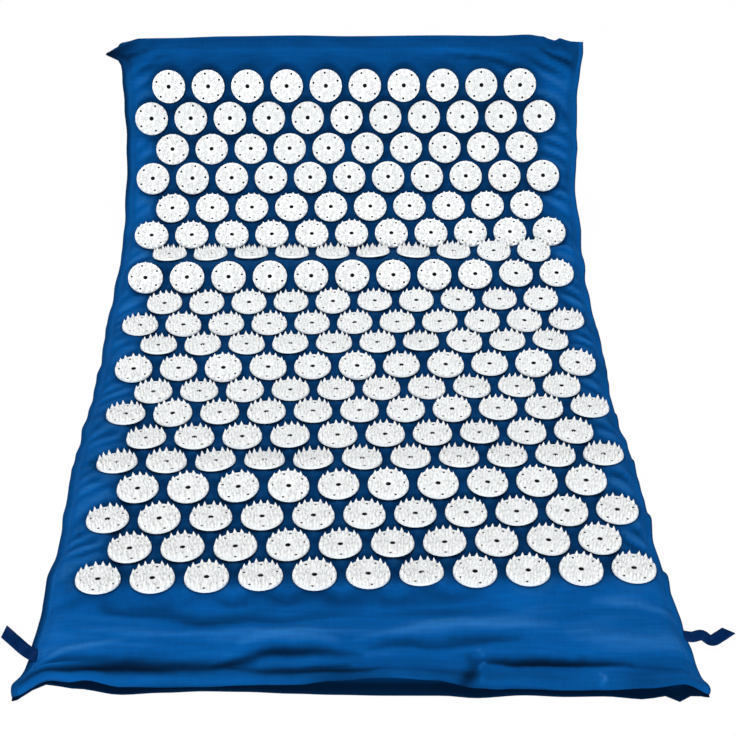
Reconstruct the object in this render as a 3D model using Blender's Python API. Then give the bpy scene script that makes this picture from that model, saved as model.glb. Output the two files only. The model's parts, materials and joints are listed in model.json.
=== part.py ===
"""Acupressure mat: a sewn cotton cover over a foam core, with rows of spiked plastic discs.

Lengths are in metres and +Z is up. The mat lies along Y. Its near hem, with the mouth of the cover
and the two tie tapes, is at -Y. Its head end, at +Y, curls up off the floor.
"""

import math
from dataclasses import dataclass

import bmesh
import bpy
from mathutils import Vector

# Disc field, counted from the near hem
DISC_ROWS = 20
DISCS_IN_WIDE_ROW = 11
ROW_PITCH = 0.029
DISC_PITCH = 0.036
DISC_DIAMETER = 0.030
DISC_PLATE = 0.0015
SPIKE_HEIGHT = 0.0050
SPIKES_ON_EACH_SIDE = 4
SPIKE_REACH_SHARE = 0.84
BAR_WIDTH = 0.0040
BAR_COUNT = 2

# Mat as a whole
MAT_WIDTH = 0.422
MAT_THICKNESS = 0.020
SIDE_DRAW_IN = 0.0030
CORNER_EAR = 0.0050
HEM_MARGIN = 0.086
PAD_MARGIN = 0.016
FAR_MARGIN = 0.039

# Cover
CLOTH = 0.0008
SEAM_ALLOWANCE = 0.0040
CLEARANCE = 0.0004
FACET_HALF = 0.011
GAP_DIP = 0.0012

# Height of the side seams, as a share of the thickness, along the padded part and along the lips
PAD_SEAM_SHARE = 0.5
LIP_SEAM_SHARE = 0.3

# Foam
FOAM_SIDE_GAP = 0.0020
FOAM_TOP_GAP = 0.0014
FOAM_UNDER_GAP = 0.0006

# Lie of the mat: climb from each row to the next one, and the tilt of each row's discs, in degrees
ROW_CLIMBS = (-2, 0, 4, -2, -3, -1, -3, 1, 4, -1, 4, 14, 11, 5, 26, 33, 38, 52, 68)
ROW_TILTS = (-7, -8, -6, 0, -12, -7, -6, -7, 4, -7, -1, 2, 28, -8, 20, 23, 39, 37, 56, 68)
ROWS_ON_THE_FLOOR = 12

# Mouth of the cover: heights and runs of the empty band between the foam and the near hem
RIM_FOOT_HEIGHT = 0.0036
RIM_HEIGHT = 0.0088
RIM_ROLL = 0.0030
RIM_TOP_RUN = 0.0050
RIM_BACK_RUN = 0.0040
STRIP_WIDTH = 0.020
STRIP_LENGTH = 0.340
STRIP_THICKNESS = 0.0015
STRIP_SEAT_MARGIN = 0.0015
BAND_SWELL_RUN = 0.010
BAND_SWELL_HEIGHT = 0.0098
BAND_CREASE_RUN = 0.022
BAND_CREASE_HEIGHT = 0.0120
PAD_SHOULDER_HEIGHT = 0.0175

# Tie tapes
TIE_FROM_HEM = 0.031
TIE_WIDTH = 0.0075
TIE_REACH = 0.027
TIE_THICKNESS = 0.0012
TIE_GAP = 0.0004
TIE_TIP_HEIGHT = 0.0016
TIE_WAVE_LEFT = 0.0010
TIE_WAVE_RIGHT = 0.0035
TIE_TURN_LEFT = 45
TIE_TURN_RIGHT = 4
TIE_WAVES = 2
TIE_STEPS = 12

# Bend in the head end
BEND_AFTER_ROW = 14
BEND_RISE = 0.0045
BEND_GAP = 0.0003
BEND_ROOM = 28

# Cross-section of the padded cover: share of the half width, and share of the drop to the seam
SECTION_SHARES = ((0.90, 0.0), (0.965, 0.32), (1.0, 1.0))
# Far end of the cover and of the foam: share of the far margin, and share of the drop to the seam
FAR_END_SHARES = ((0.70, 0.06), (0.91, 0.46), (1.0, 1.0))
FOAM_END_SHARES = ((0.62, 0.06), (0.82, 0.50))

COTTON_BLUE = (0.003, 0.066, 0.260, 1)
COTTON_NAVY = (0.002, 0.012, 0.070, 1)
FOAM_CREAM = (0.80, 0.77, 0.66, 1)
DISC_WHITE = (0.86, 0.88, 0.90, 1)
STRIP_NAVY = (0.003, 0.018, 0.090, 1)


@dataclass
class Station:
    """One cut across the mat: points in the YZ plane, as vectors with x = 0."""

    top: Vector
    chord: Vector
    under: Vector
    arc: float
    seam_share: float
    end_drop: float = 0.0
    ear: float = 0.0

    def thickness_axis(self):
        return (self.chord - self.under).normalized()

    def seam(self):
        return self.under.lerp(self.chord, self.seam_share)


def yz(y, z):
    return Vector((0, y, z))


def along(degrees):
    angle = math.radians(degrees)
    return yz(math.cos(angle), math.sin(angle))


def across(degrees):
    angle = math.radians(degrees)
    return yz(-math.sin(angle), math.cos(angle))


def row_centres():
    """Points on the cloth under the middle of each row of discs, walked from the near row."""
    centres = [yz(0, MAT_THICKNESS)]
    for climb in ROW_CLIMBS:
        centres.append(centres[-1] + ROW_PITCH * along(climb))
    return centres


def mean_climb(row):
    near = ROW_CLIMBS[max(row - 1, 0)]
    far = ROW_CLIMBS[min(row, DISC_ROWS - 2)]
    return (near + far) / 2


def row_unders(centres):
    """Points on the underside below each row: on the floor first, then a thickness below the cloth."""
    unders = []
    for row, centre in enumerate(centres):
        if row < ROWS_ON_THE_FLOOR:
            unders.append(yz(centre.y, 0))
            continue
        under = centre - MAT_THICKNESS * across(mean_climb(row))
        unders.append(yz(under.y, max(under.z, 0)))
    return unders


def strip_seat_height():
    """Top of the cloth where both lips and both strips lie on each other."""
    return 2 * CLOTH + 3 * CLEARANCE + 2 * STRIP_THICKNESS


def band_points():
    """Distance from the near hem and height of the cloth over the empty band."""
    seat = strip_seat_height()
    rim_back = RIM_ROLL + RIM_TOP_RUN
    seat_start = rim_back + RIM_BACK_RUN
    seat_end = seat_start + STRIP_WIDTH + 2 * STRIP_SEAT_MARGIN
    pad_end = HEM_MARGIN - PAD_MARGIN
    return (
        (0, RIM_FOOT_HEIGHT),
        (RIM_ROLL, RIM_HEIGHT),
        (rim_back, RIM_HEIGHT),
        (seat_start, seat),
        (seat_end, seat),
        (seat_end + BAND_SWELL_RUN, BAND_SWELL_HEIGHT),
        (seat_end + BAND_CREASE_RUN, BAND_CREASE_HEIGHT),
        (pad_end, PAD_SHOULDER_HEIGHT),
    )


def band_stations(first_row):
    found = []
    for distance, height in band_points():
        y = first_row.y - HEM_MARGIN + distance
        point = yz(y, height)
        found.append(Station(point, point, yz(y, 0), distance, LIP_SEAM_SHARE))
    found[0].ear = CORNER_EAR
    found[-1].seam_share = PAD_SEAM_SHARE
    return found


def end_stations(centre, under, shares):
    """Cuts past the last row, at shares of the far margin."""
    heading = along(ROW_CLIMBS[-1])
    found = []
    for share, drop in shares:
        step = share * FAR_MARGIN * heading
        arc = HEM_MARGIN + (DISC_ROWS - 1) * ROW_PITCH + share * FAR_MARGIN
        point = centre + step
        found.append(Station(point, point, under + step, arc, PAD_SEAM_SHARE, drop))
    return found


def centre_line(centres, unders):
    """One cut for each bend of the cover's middle: both panels' seams follow it."""
    line = band_stations(centres[0])
    for row in range(DISC_ROWS):
        arc = HEM_MARGIN + row * ROW_PITCH
        line.append(Station(centres[row], centres[row], unders[row], arc, PAD_SEAM_SHARE))
    line += end_stations(centres[-1], unders[-1], FAR_END_SHARES)
    allowance = SEAM_ALLOWANCE * along(ROW_CLIMBS[-1])
    last = line[-1]
    top = last.top + allowance
    under = last.under + allowance
    line.append(Station(top, top, under, last.arc, PAD_SEAM_SHARE, 1.0, CORNER_EAR))
    return line


def at_arc(line, arc):
    """The cut at a distance along the mat, between two cuts of the centre line."""
    for before, after in zip(line, line[1:]):
        if before.arc <= arc <= after.arc:
            share = (arc - before.arc) / (after.arc - before.arc)
            chord = before.chord.lerp(after.chord, share)
            under = before.under.lerp(after.under, share)
            seam_share = before.seam_share + (after.seam_share - before.seam_share) * share
            return Station(chord, chord, under, arc, seam_share)
    raise ValueError("the cut lies past the end of the mat")


def row_stations(line, row):
    """Two cuts at the ends of the flat that a row's discs lie on."""
    arc = HEM_MARGIN + row * ROW_PITCH
    middle = at_arc(line, arc).chord
    found = []
    for side in (-1, 1):
        cut = at_arc(line, arc + side * FACET_HALF)
        cut.top = middle + side * FACET_HALF * along(ROW_TILTS[row])
        found.append(cut)
    return found


def gap_station(line, row):
    """The dip in the cloth past a row, a little under the lower of the two rows' flats."""
    cut = at_arc(line, HEM_MARGIN + (row + 0.5) * ROW_PITCH)
    axis = cut.thickness_axis()
    half = ROW_PITCH / 2
    lifts = []
    for side, beside in ((1, row), (-1, row + 1)):
        middle = at_arc(line, HEM_MARGIN + beside * ROW_PITCH).chord
        edge = middle + side * half * along(ROW_TILTS[beside])
        lifts.append((edge - cut.chord).dot(axis))
    cut.top = cut.chord + (min(lifts) - GAP_DIP) * axis
    return cut


def rows_stations(line, first, last):
    """The cuts for a run of rows, with the dips between them."""
    found = []
    for row in range(first, last):
        found += row_stations(line, row)
        if row < last - 1:
            found.append(gap_station(line, row))
    return found


def panel_stations(line):
    """The centre line's ends with the rows' cuts in place of its own."""
    first = HEM_MARGIN - PAD_MARGIN / 2
    last = HEM_MARGIN + (DISC_ROWS - 1) * ROW_PITCH + FACET_HALF
    near = [cut for cut in line if cut.arc < first]
    far = [cut for cut in line if cut.arc > last]
    return near + rows_stations(line, 0, DISC_ROWS) + far


def half_width(arc):
    """Half the width of the padded body: the sides pull in between the corners."""
    length = HEM_MARGIN + (DISC_ROWS - 1) * ROW_PITCH + FAR_MARGIN
    draw = SIDE_DRAW_IN * math.sin(math.pi * min(max(arc / length, 0), 1))
    return MAT_WIDTH / 2 - SEAM_ALLOWANCE - draw


def columns():
    """Shares across the panel from one seam edge to the other, the allowance included."""
    half = [(share, drop, False) for share, drop in SECTION_SHARES]
    half.append((1.0, 1.0, True))
    left = [(-share, drop, edge) for share, drop, edge in reversed(half)]
    return left + half


def panel_point(station, column, upper):
    share, drop, edge = column
    total_drop = 1 - (1 - drop) * (1 - station.end_drop)
    side = 1 if upper else -1
    lift = side * (CLEARANCE / 2 + CLOTH) * station.thickness_axis()
    level = station.seam() + lift
    start = station.top if upper else station.under
    point = start.lerp(level, total_drop)
    x = share * half_width(station.arc)
    if edge:
        x += math.copysign(SEAM_ALLOWANCE + station.ear, share)
    return Vector((x, point.y, point.z))


def material(name, colour, roughness):
    made = bpy.data.materials.new(name)
    made.use_nodes = True
    shader = made.node_tree.nodes["Principled BSDF"]
    shader.inputs["Base Color"].default_value = colour
    shader.inputs["Roughness"].default_value = roughness
    shader.inputs["Metallic"].default_value = 0
    return made


def add_object(name, bm, finish, parent, smooth=False, closed=True):
    if closed:
        bmesh.ops.recalc_face_normals(bm, faces=bm.faces)
    mesh = bpy.data.meshes.new(name)
    bm.to_mesh(mesh)
    bm.free()
    if smooth:
        mesh.shade_smooth()
    mesh.materials.append(finish)
    made = bpy.data.objects.new(name, mesh)
    bpy.context.scene.collection.objects.link(made)
    made.parent = parent
    return made


def joint_empty(name, place, parent):
    made = bpy.data.objects.new(name, None)
    made.location = place
    made.parent = parent
    bpy.context.scene.collection.objects.link(made)
    return made


def keep_place(made, holder):
    """Meshes are drawn in the mat's own frame, so a piece on a joint is moved back by its joint."""
    made.location = made.location - holder.location


def thicken(made, thickness, offset):
    """Offset -1 grows the sheet inwards from its outer face, 0 to both sides of its middle."""
    modifier = made.modifiers.new("thickness", "SOLIDIFY")
    modifier.thickness = thickness
    modifier.offset = offset
    modifier.use_even_offset = True


def cover_panel(name, stations, upper, finish, parent):
    """A sheet laid over the cuts across the mat, then given the cloth's thickness inwards."""
    shares = columns()
    bm = bmesh.new()
    across_count = len(shares) - 1
    along_count = len(stations) - 1
    bmesh.ops.create_grid(bm, x_segments=across_count, y_segments=along_count, size=MAT_WIDTH / 2)
    for index, vertex in enumerate(bm.verts):
        station = stations[index // len(shares)]
        vertex.co = panel_point(station, shares[index % len(shares)], upper)
    if not upper:
        bmesh.ops.reverse_faces(bm, faces=bm.faces)
    made = add_object(name, bm, finish, parent, smooth=True, closed=False)
    thicken(made, CLOTH, offset=-1)
    return made


def foam_ring(station):
    """Closed outline of the foam at one cut, a little inside the cover."""
    seam = station.seam()
    axis = station.thickness_axis()
    half = half_width(station.arc) - FOAM_SIDE_GAP
    points = []
    for upper in (True, False):
        face = station.under + (CLOTH + FOAM_UNDER_GAP) * axis
        if upper:
            face = station.top - (CLOTH + FOAM_TOP_GAP) * axis
        run = list(SECTION_SHARES[:-1])
        flow = [(-s, d) for s, d in reversed(run)] + run
        if not upper:
            flow = [(-s, d) for s, d in flow]
        tip = -half if upper else half
        points.append(Vector((tip, seam.y, seam.z)))
        for share, drop in flow:
            total = 1 - (1 - drop) * (1 - station.end_drop)
            point = face.lerp(seam, total)
            points.append(Vector((share * half, point.y, point.z)))
    return points


def foam_block(name, stations, finish, parent):
    """The foam outline carried from cut to cut, with both ends closed."""
    bm = bmesh.new()
    previous = None
    for station in stations:
        ring = [bm.verts.new(point) for point in foam_ring(station)]
        edges = [bm.edges.new((a, b)) for a, b in zip(ring, ring[1:] + ring[:1])]
        if previous:
            bmesh.ops.bridge_loops(bm, edges=previous + edges)
        else:
            bm.faces.new(ring)
        previous = edges
    bm.faces.new(ring)
    return add_object(name, bm, finish, parent)


def bend_axis(bend):
    """The line that the head end turns about, in the valley past its last flat row."""
    return bend.top + BEND_RISE * bend.thickness_axis()


def bend_face(bend, side):
    """Cut face of the foam beside the bend, slanted back so that the bend has room."""
    axis = bend.thickness_axis()
    forward = yz(axis.z, -axis.y)
    slope = math.tan(math.radians(BEND_ROOM / 2))
    depth_top = BEND_RISE
    depth_under = BEND_RISE + (bend.top - bend.under).length
    top = bend.top + side * (BEND_GAP + depth_top * slope) * forward
    chord = bend.chord + side * (BEND_GAP + depth_top * slope) * forward
    under = bend.under + side * (BEND_GAP + depth_under * slope) * forward
    return Station(top, chord, under, bend.arc, PAD_SEAM_SHARE)


def foam_foot_stations(line, bend):
    pad_end = at_arc(line, HEM_MARGIN - PAD_MARGIN)
    return [pad_end] + rows_stations(line, 0, BEND_AFTER_ROW) + [bend_face(bend, -1)]


def foam_head_stations(line, bend, centres, unders):
    rows = rows_stations(line, BEND_AFTER_ROW, DISC_ROWS)
    end = end_stations(centres[-1], unders[-1], FOAM_END_SHARES)
    return [bend_face(bend, 1)] + rows + end


def rim_angles():
    """Corners of a disc's plate: long sides under the spikes, and a short one towards each bar."""
    half_bar = math.asin(BAR_WIDTH / DISC_DIAMETER)
    step = (math.pi - 2 * half_bar) / SPIKES_ON_EACH_SIDE
    upper = [half_bar + step * index for index in range(SPIKES_ON_EACH_SIDE + 1)]
    return upper + [math.pi + angle for angle in upper]


def add_disc(bm, centre_x):
    """One spiked plate; returns its two short side faces."""
    radius = DISC_DIAMETER / 2
    rim = []
    for angle in rim_angles():
        place = Vector((centre_x + radius * math.cos(angle), radius * math.sin(angle), 0))
        rim.append(bm.verts.new(place))
    base = bm.faces.new(rim)
    raised = bmesh.ops.extrude_face_region(bm, geom=[base], use_keep_orig=True)["geom"]
    top_verts = [item for item in raised if isinstance(item, bmesh.types.BMVert)]
    top_face = [item for item in raised if isinstance(item, bmesh.types.BMFace)][0]
    bmesh.ops.translate(bm, verts=top_verts, vec=(0, 0, DISC_PLATE))
    sides = {face for vertex in rim for face in vertex.link_faces} - {base}
    wedges = bmesh.ops.poke(bm, faces=[top_face])["faces"]
    wedges = sorted(wedges, key=lambda face: face.calc_area())
    for wedge in wedges[BAR_COUNT:]:
        raise_spike(bm, wedge, centre_x)
    ends = sorted(sides, key=lambda face: face.calc_center_median().x)
    return ends[0], ends[-1]


def raise_spike(bm, wedge, centre_x):
    """A pyramid over one wedge of the plate, with its peak just inside the rim."""
    peak = bmesh.ops.poke(bm, faces=[wedge])["verts"][0]
    offset = Vector((peak.co.x - centre_x, peak.co.y))
    offset = offset.normalized() * SPIKE_REACH_SHARE * DISC_DIAMETER / 2
    peak.co = Vector((centre_x + offset.x, offset.y, DISC_PLATE + SPIKE_HEIGHT))


def disc_row(name, count, finish):
    """A row of discs at the disc pitch, held together by flat bars along the bond line."""
    bm = bmesh.new()
    last_side = None
    for index in range(count):
        near_side, far_side = add_disc(bm, (index - (count - 1) / 2) * DISC_PITCH)
        if last_side:
            edges = list(last_side.edges) + list(near_side.edges)
            bmesh.ops.delete(bm, geom=[last_side, near_side], context="FACES_ONLY")
            bmesh.ops.bridge_loops(bm, edges=edges)
        last_side = far_side
    return add_object(name, bm, finish, None)


def place_rows(centres, finish, frame, head_joint):
    for row in range(DISC_ROWS):
        count = DISCS_IN_WIDE_ROW - row % 2
        made = disc_row(f"disc_row_{row + 1:02d}", count, finish)
        made.location = centres[row] + CLEARANCE * across(ROW_TILTS[row])
        made.rotation_euler.x = math.radians(ROW_TILTS[row])
        made.parent = head_joint if row >= BEND_AFTER_ROW else frame
        if row >= BEND_AFTER_ROW:
            keep_place(made, head_joint)


def closure_strip(name, hem_y, base_z, finish, parent):
    rim_back = RIM_ROLL + RIM_TOP_RUN + RIM_BACK_RUN
    y = hem_y + rim_back + STRIP_SEAT_MARGIN + STRIP_WIDTH / 2
    bm = bmesh.new()
    bmesh.ops.create_cube(bm, size=STRIP_WIDTH)
    stretch = (STRIP_LENGTH / STRIP_WIDTH, 1, STRIP_THICKNESS / STRIP_WIDTH)
    bmesh.ops.scale(bm, verts=bm.verts, vec=stretch)
    made = add_object(name, bm, finish, parent)
    made.location = (0, y, base_z + STRIP_THICKNESS / 2)
    return made


def tie_root(line):
    """Where the tapes turn, just outside the side seam: distance from the middle, and YZ place."""
    seam_edge = half_width(TIE_FROM_HEM) + SEAM_ALLOWANCE
    return seam_edge + TIE_GAP + TIE_THICKNESS / 2, at_arc(line, TIE_FROM_HEM).seam()


def tie_tape(name, side, turn, wave, root, finish, joint):
    """A short tape that leaves the seam, turns towards the head end and waves a little."""
    drop = root.z - TIE_TIP_HEIGHT
    bm = bmesh.new()
    bmesh.ops.create_grid(bm, x_segments=TIE_STEPS, y_segments=1, size=TIE_WIDTH / 2)
    drift = math.tan(math.radians(turn))
    for vertex in bm.verts:
        share = vertex.co.x / TIE_WIDTH + 1 / 2
        reach = share * TIE_REACH - (1 - share) * TIE_THICKNESS / 2
        wide = vertex.co.y / math.cos(math.radians(turn))
        ripple = wave * math.sin(math.pi * TIE_WAVES * share) ** 2
        vertex.co = Vector((side * reach, wide + reach * drift, ripple - drop * share))
    made = add_object(name, bm, finish, joint, smooth=True)
    thicken(made, TIE_THICKNESS, offset=0)
    return made


def centre_on_origin(frame):
    """Moves the whole mat along Y so that its box is centred on the origin."""
    bpy.context.view_layer.update()
    graph = bpy.context.evaluated_depsgraph_get()
    lengths = []
    for made in bpy.context.scene.objects:
        if made.type != "MESH":
            continue
        shown = made.evaluated_get(graph)
        lengths += [(shown.matrix_world @ Vector(corner)).y for corner in shown.bound_box]
    frame.location.y -= (min(lengths) + max(lengths)) / 2


def main():
    for old in list(bpy.data.objects):
        bpy.data.objects.remove(old, do_unlink=True)

    cotton = material("cover_cotton", COTTON_BLUE, 0.85)
    tape_cotton = material("tie_tape_cotton", COTTON_NAVY, 0.85)
    foam = material("foam_cream", FOAM_CREAM, 0.95)
    plastic = material("disc_plastic", DISC_WHITE, 0.25)
    strip = material("closure_strip_nylon", STRIP_NAVY, 0.9)

    centres = row_centres()
    unders = row_unders(centres)
    line = centre_line(centres, unders)
    bend = gap_station(line, BEND_AFTER_ROW - 1)
    frame = joint_empty("mat_frame", (0, 0, 0), None)
    head_joint = joint_empty("head_bend_axis", bend_axis(bend), frame)

    cuts = panel_stations(line)
    cover_panel("cover_top_panel", cuts, True, cotton, frame)
    cover_panel("cover_back_panel", cuts, False, cotton, frame)

    foam_block("foam_core_foot", foam_foot_stations(line, bend), foam, frame)
    head_cuts = foam_head_stations(line, bend, centres, unders)
    head = foam_block("foam_core_head", head_cuts, foam, head_joint)
    keep_place(head, head_joint)
    place_rows(centres, plastic, frame, head_joint)

    hem_y = centres[0].y - HEM_MARGIN
    loop_base = CLOTH + CLEARANCE
    hook_base = loop_base + STRIP_THICKNESS + CLEARANCE
    closure_strip("loop_strip", hem_y, loop_base, strip, frame)
    closure_strip("hook_strip", hem_y, hook_base, strip, frame)

    turn_x, root = tie_root(line)
    ties = (
        ("tie_tape_left", -1, TIE_TURN_LEFT, TIE_WAVE_LEFT),
        ("tie_tape_right", 1, TIE_TURN_RIGHT, TIE_WAVE_RIGHT),
    )
    for name, side, turn, wave in ties:
        joint = joint_empty(name + "_axis", (side * turn_x, root.y, root.z), frame)
        tie_tape(name, side, turn, wave, root, tape_cotton, joint)

    centre_on_origin(frame)


main()
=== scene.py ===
"""Acupressure mat: a sewn blue cotton cover over a foam core, set with 210 spiked white plates.

Lengths are in metres. The mat lies along Y, its near hem with the mouth and the two tie tapes at
-Y, and its head end curled up at +Y. Places on the cloth are given as x across the mat and arc,
the distance along the mat from the near hem.
"""

import json  # noqa: E402
import logging  # noqa: E402
import math  # noqa: E402
import random  # noqa: E402
from dataclasses import dataclass, field  # noqa: E402
from enum import Enum  # noqa: E402
from typing import Callable, Optional, Union  # noqa: E402

import bmesh  # noqa: E402
import bpy  # noqa: E402
from mathutils import Matrix, Vector, noise  # noqa: E402

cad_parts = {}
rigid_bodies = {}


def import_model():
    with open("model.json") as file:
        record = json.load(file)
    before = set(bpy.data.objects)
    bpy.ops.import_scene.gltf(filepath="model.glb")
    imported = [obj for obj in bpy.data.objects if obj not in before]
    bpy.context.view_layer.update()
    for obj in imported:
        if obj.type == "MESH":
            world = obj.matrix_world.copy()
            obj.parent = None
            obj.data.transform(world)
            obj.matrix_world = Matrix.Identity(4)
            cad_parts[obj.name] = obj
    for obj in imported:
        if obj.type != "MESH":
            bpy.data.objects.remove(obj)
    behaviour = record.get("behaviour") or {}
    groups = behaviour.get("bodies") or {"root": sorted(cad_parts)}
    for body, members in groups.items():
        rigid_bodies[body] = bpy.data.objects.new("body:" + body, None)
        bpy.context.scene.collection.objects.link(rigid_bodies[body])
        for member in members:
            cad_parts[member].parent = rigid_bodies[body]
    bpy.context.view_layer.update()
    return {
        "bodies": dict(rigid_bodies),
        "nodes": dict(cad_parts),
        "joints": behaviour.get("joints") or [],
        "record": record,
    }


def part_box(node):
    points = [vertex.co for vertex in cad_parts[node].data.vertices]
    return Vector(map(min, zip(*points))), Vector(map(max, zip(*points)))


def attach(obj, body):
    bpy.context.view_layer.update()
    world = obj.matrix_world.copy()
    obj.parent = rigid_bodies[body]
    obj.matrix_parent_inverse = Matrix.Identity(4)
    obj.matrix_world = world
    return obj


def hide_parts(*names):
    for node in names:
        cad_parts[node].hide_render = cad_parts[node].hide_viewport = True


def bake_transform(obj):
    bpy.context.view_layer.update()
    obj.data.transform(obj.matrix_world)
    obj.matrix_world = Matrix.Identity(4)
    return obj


LOG = logging.getLogger("acupressure_mat")
FOOT = "mat_foot"
HEAD = "mat_head"
ROW_PITCH = 0.029
DISC_PITCH = 0.036
FIRST_HEAD_ROW = 14
MIX_FIRST = 6
MIX_SECOND = 7
MIX_RESULT = 2
Nodes = bpy.types.Nodes
Node = bpy.types.Node
Socket = bpy.types.NodeSocket
Term = Union[Socket, float]
Spot = Union[Vector, float]


class Lip(Enum):
    """The two cloth panels that meet at the mouth and along the side seams."""

    TOP = 1
    BACK = -1


class Side(Enum):
    """The two long sides of the mat."""

    LEFT = -1
    RIGHT = 1


def smooth(low: float, high: float, value: float) -> float:
    """Eased step from 0 at low to 1 at high.

    Args:
        low: value where the step starts.
        high: value where the step ends; it may be below low for a falling step.
        value: where to read it.

    Returns:
        A share from 0 to 1.
    """
    share = min(max((value - low) / (high - low), 0.0), 1.0)
    return share * share * (3 - 2 * share)


def bump(centre: float, reach: float, value: float) -> float:
    """Bell-shaped bump, 1 at the centre and near 0 two reaches away."""
    return math.exp(-(((value - centre) / reach) ** 2))


@dataclass(frozen=True)
class Profile:
    """A value that eases from one chosen point to the next."""

    points: tuple

    def at(self, place: float) -> float:
        """Reads the value; past either end it stays at the end's own value.

        Args:
            place: where to read it.

        Returns:
            The eased value.
        """
        before = self.points[0]
        if place <= before[0]:
            return before[1]
        for after in self.points[1:]:
            if place <= after[0]:
                share = smooth(before[0], after[0], place)
                return before[1] + (after[1] - before[1]) * share
            before = after
        return before[1]


def ease_through(before: Spot, first: Spot, second: Spot, after: Spot, share: float) -> Spot:
    """Smooth curve from first to second that takes its slopes from the values around them.

    Args:
        before: value ahead of the stretch; all four are numbers, or all four are points.
        first: value where the stretch starts.
        second: value where it ends.
        after: value past the stretch.
        share: how far along the stretch, from 0 to 1.

    Returns:
        The value there.
    """
    square, cube = share * share, share**3
    value = first * (2 * cube - 3 * square + 1) + second * (3 * square - 2 * cube)
    lead, tail = (second - before) / 2, (after - first) / 2
    return value + lead * (cube - 2 * square + share) + tail * (cube - square)


def along(degrees: float) -> Vector:
    """Unit vector in the YZ plane at a climb from +Y."""
    angle = math.radians(degrees)
    return Vector((0, math.cos(angle), math.sin(angle)))


def across(degrees: float) -> Vector:
    """Unit vector square to along(), pointing up at no climb."""
    angle = math.radians(degrees)
    return Vector((0, -math.sin(angle), math.cos(angle)))


@dataclass(frozen=True)
class Knot:
    """One cut across the mat that the smooth lie passes through."""

    arc: float
    top: Vector
    under: Vector
    seam_share: float


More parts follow.
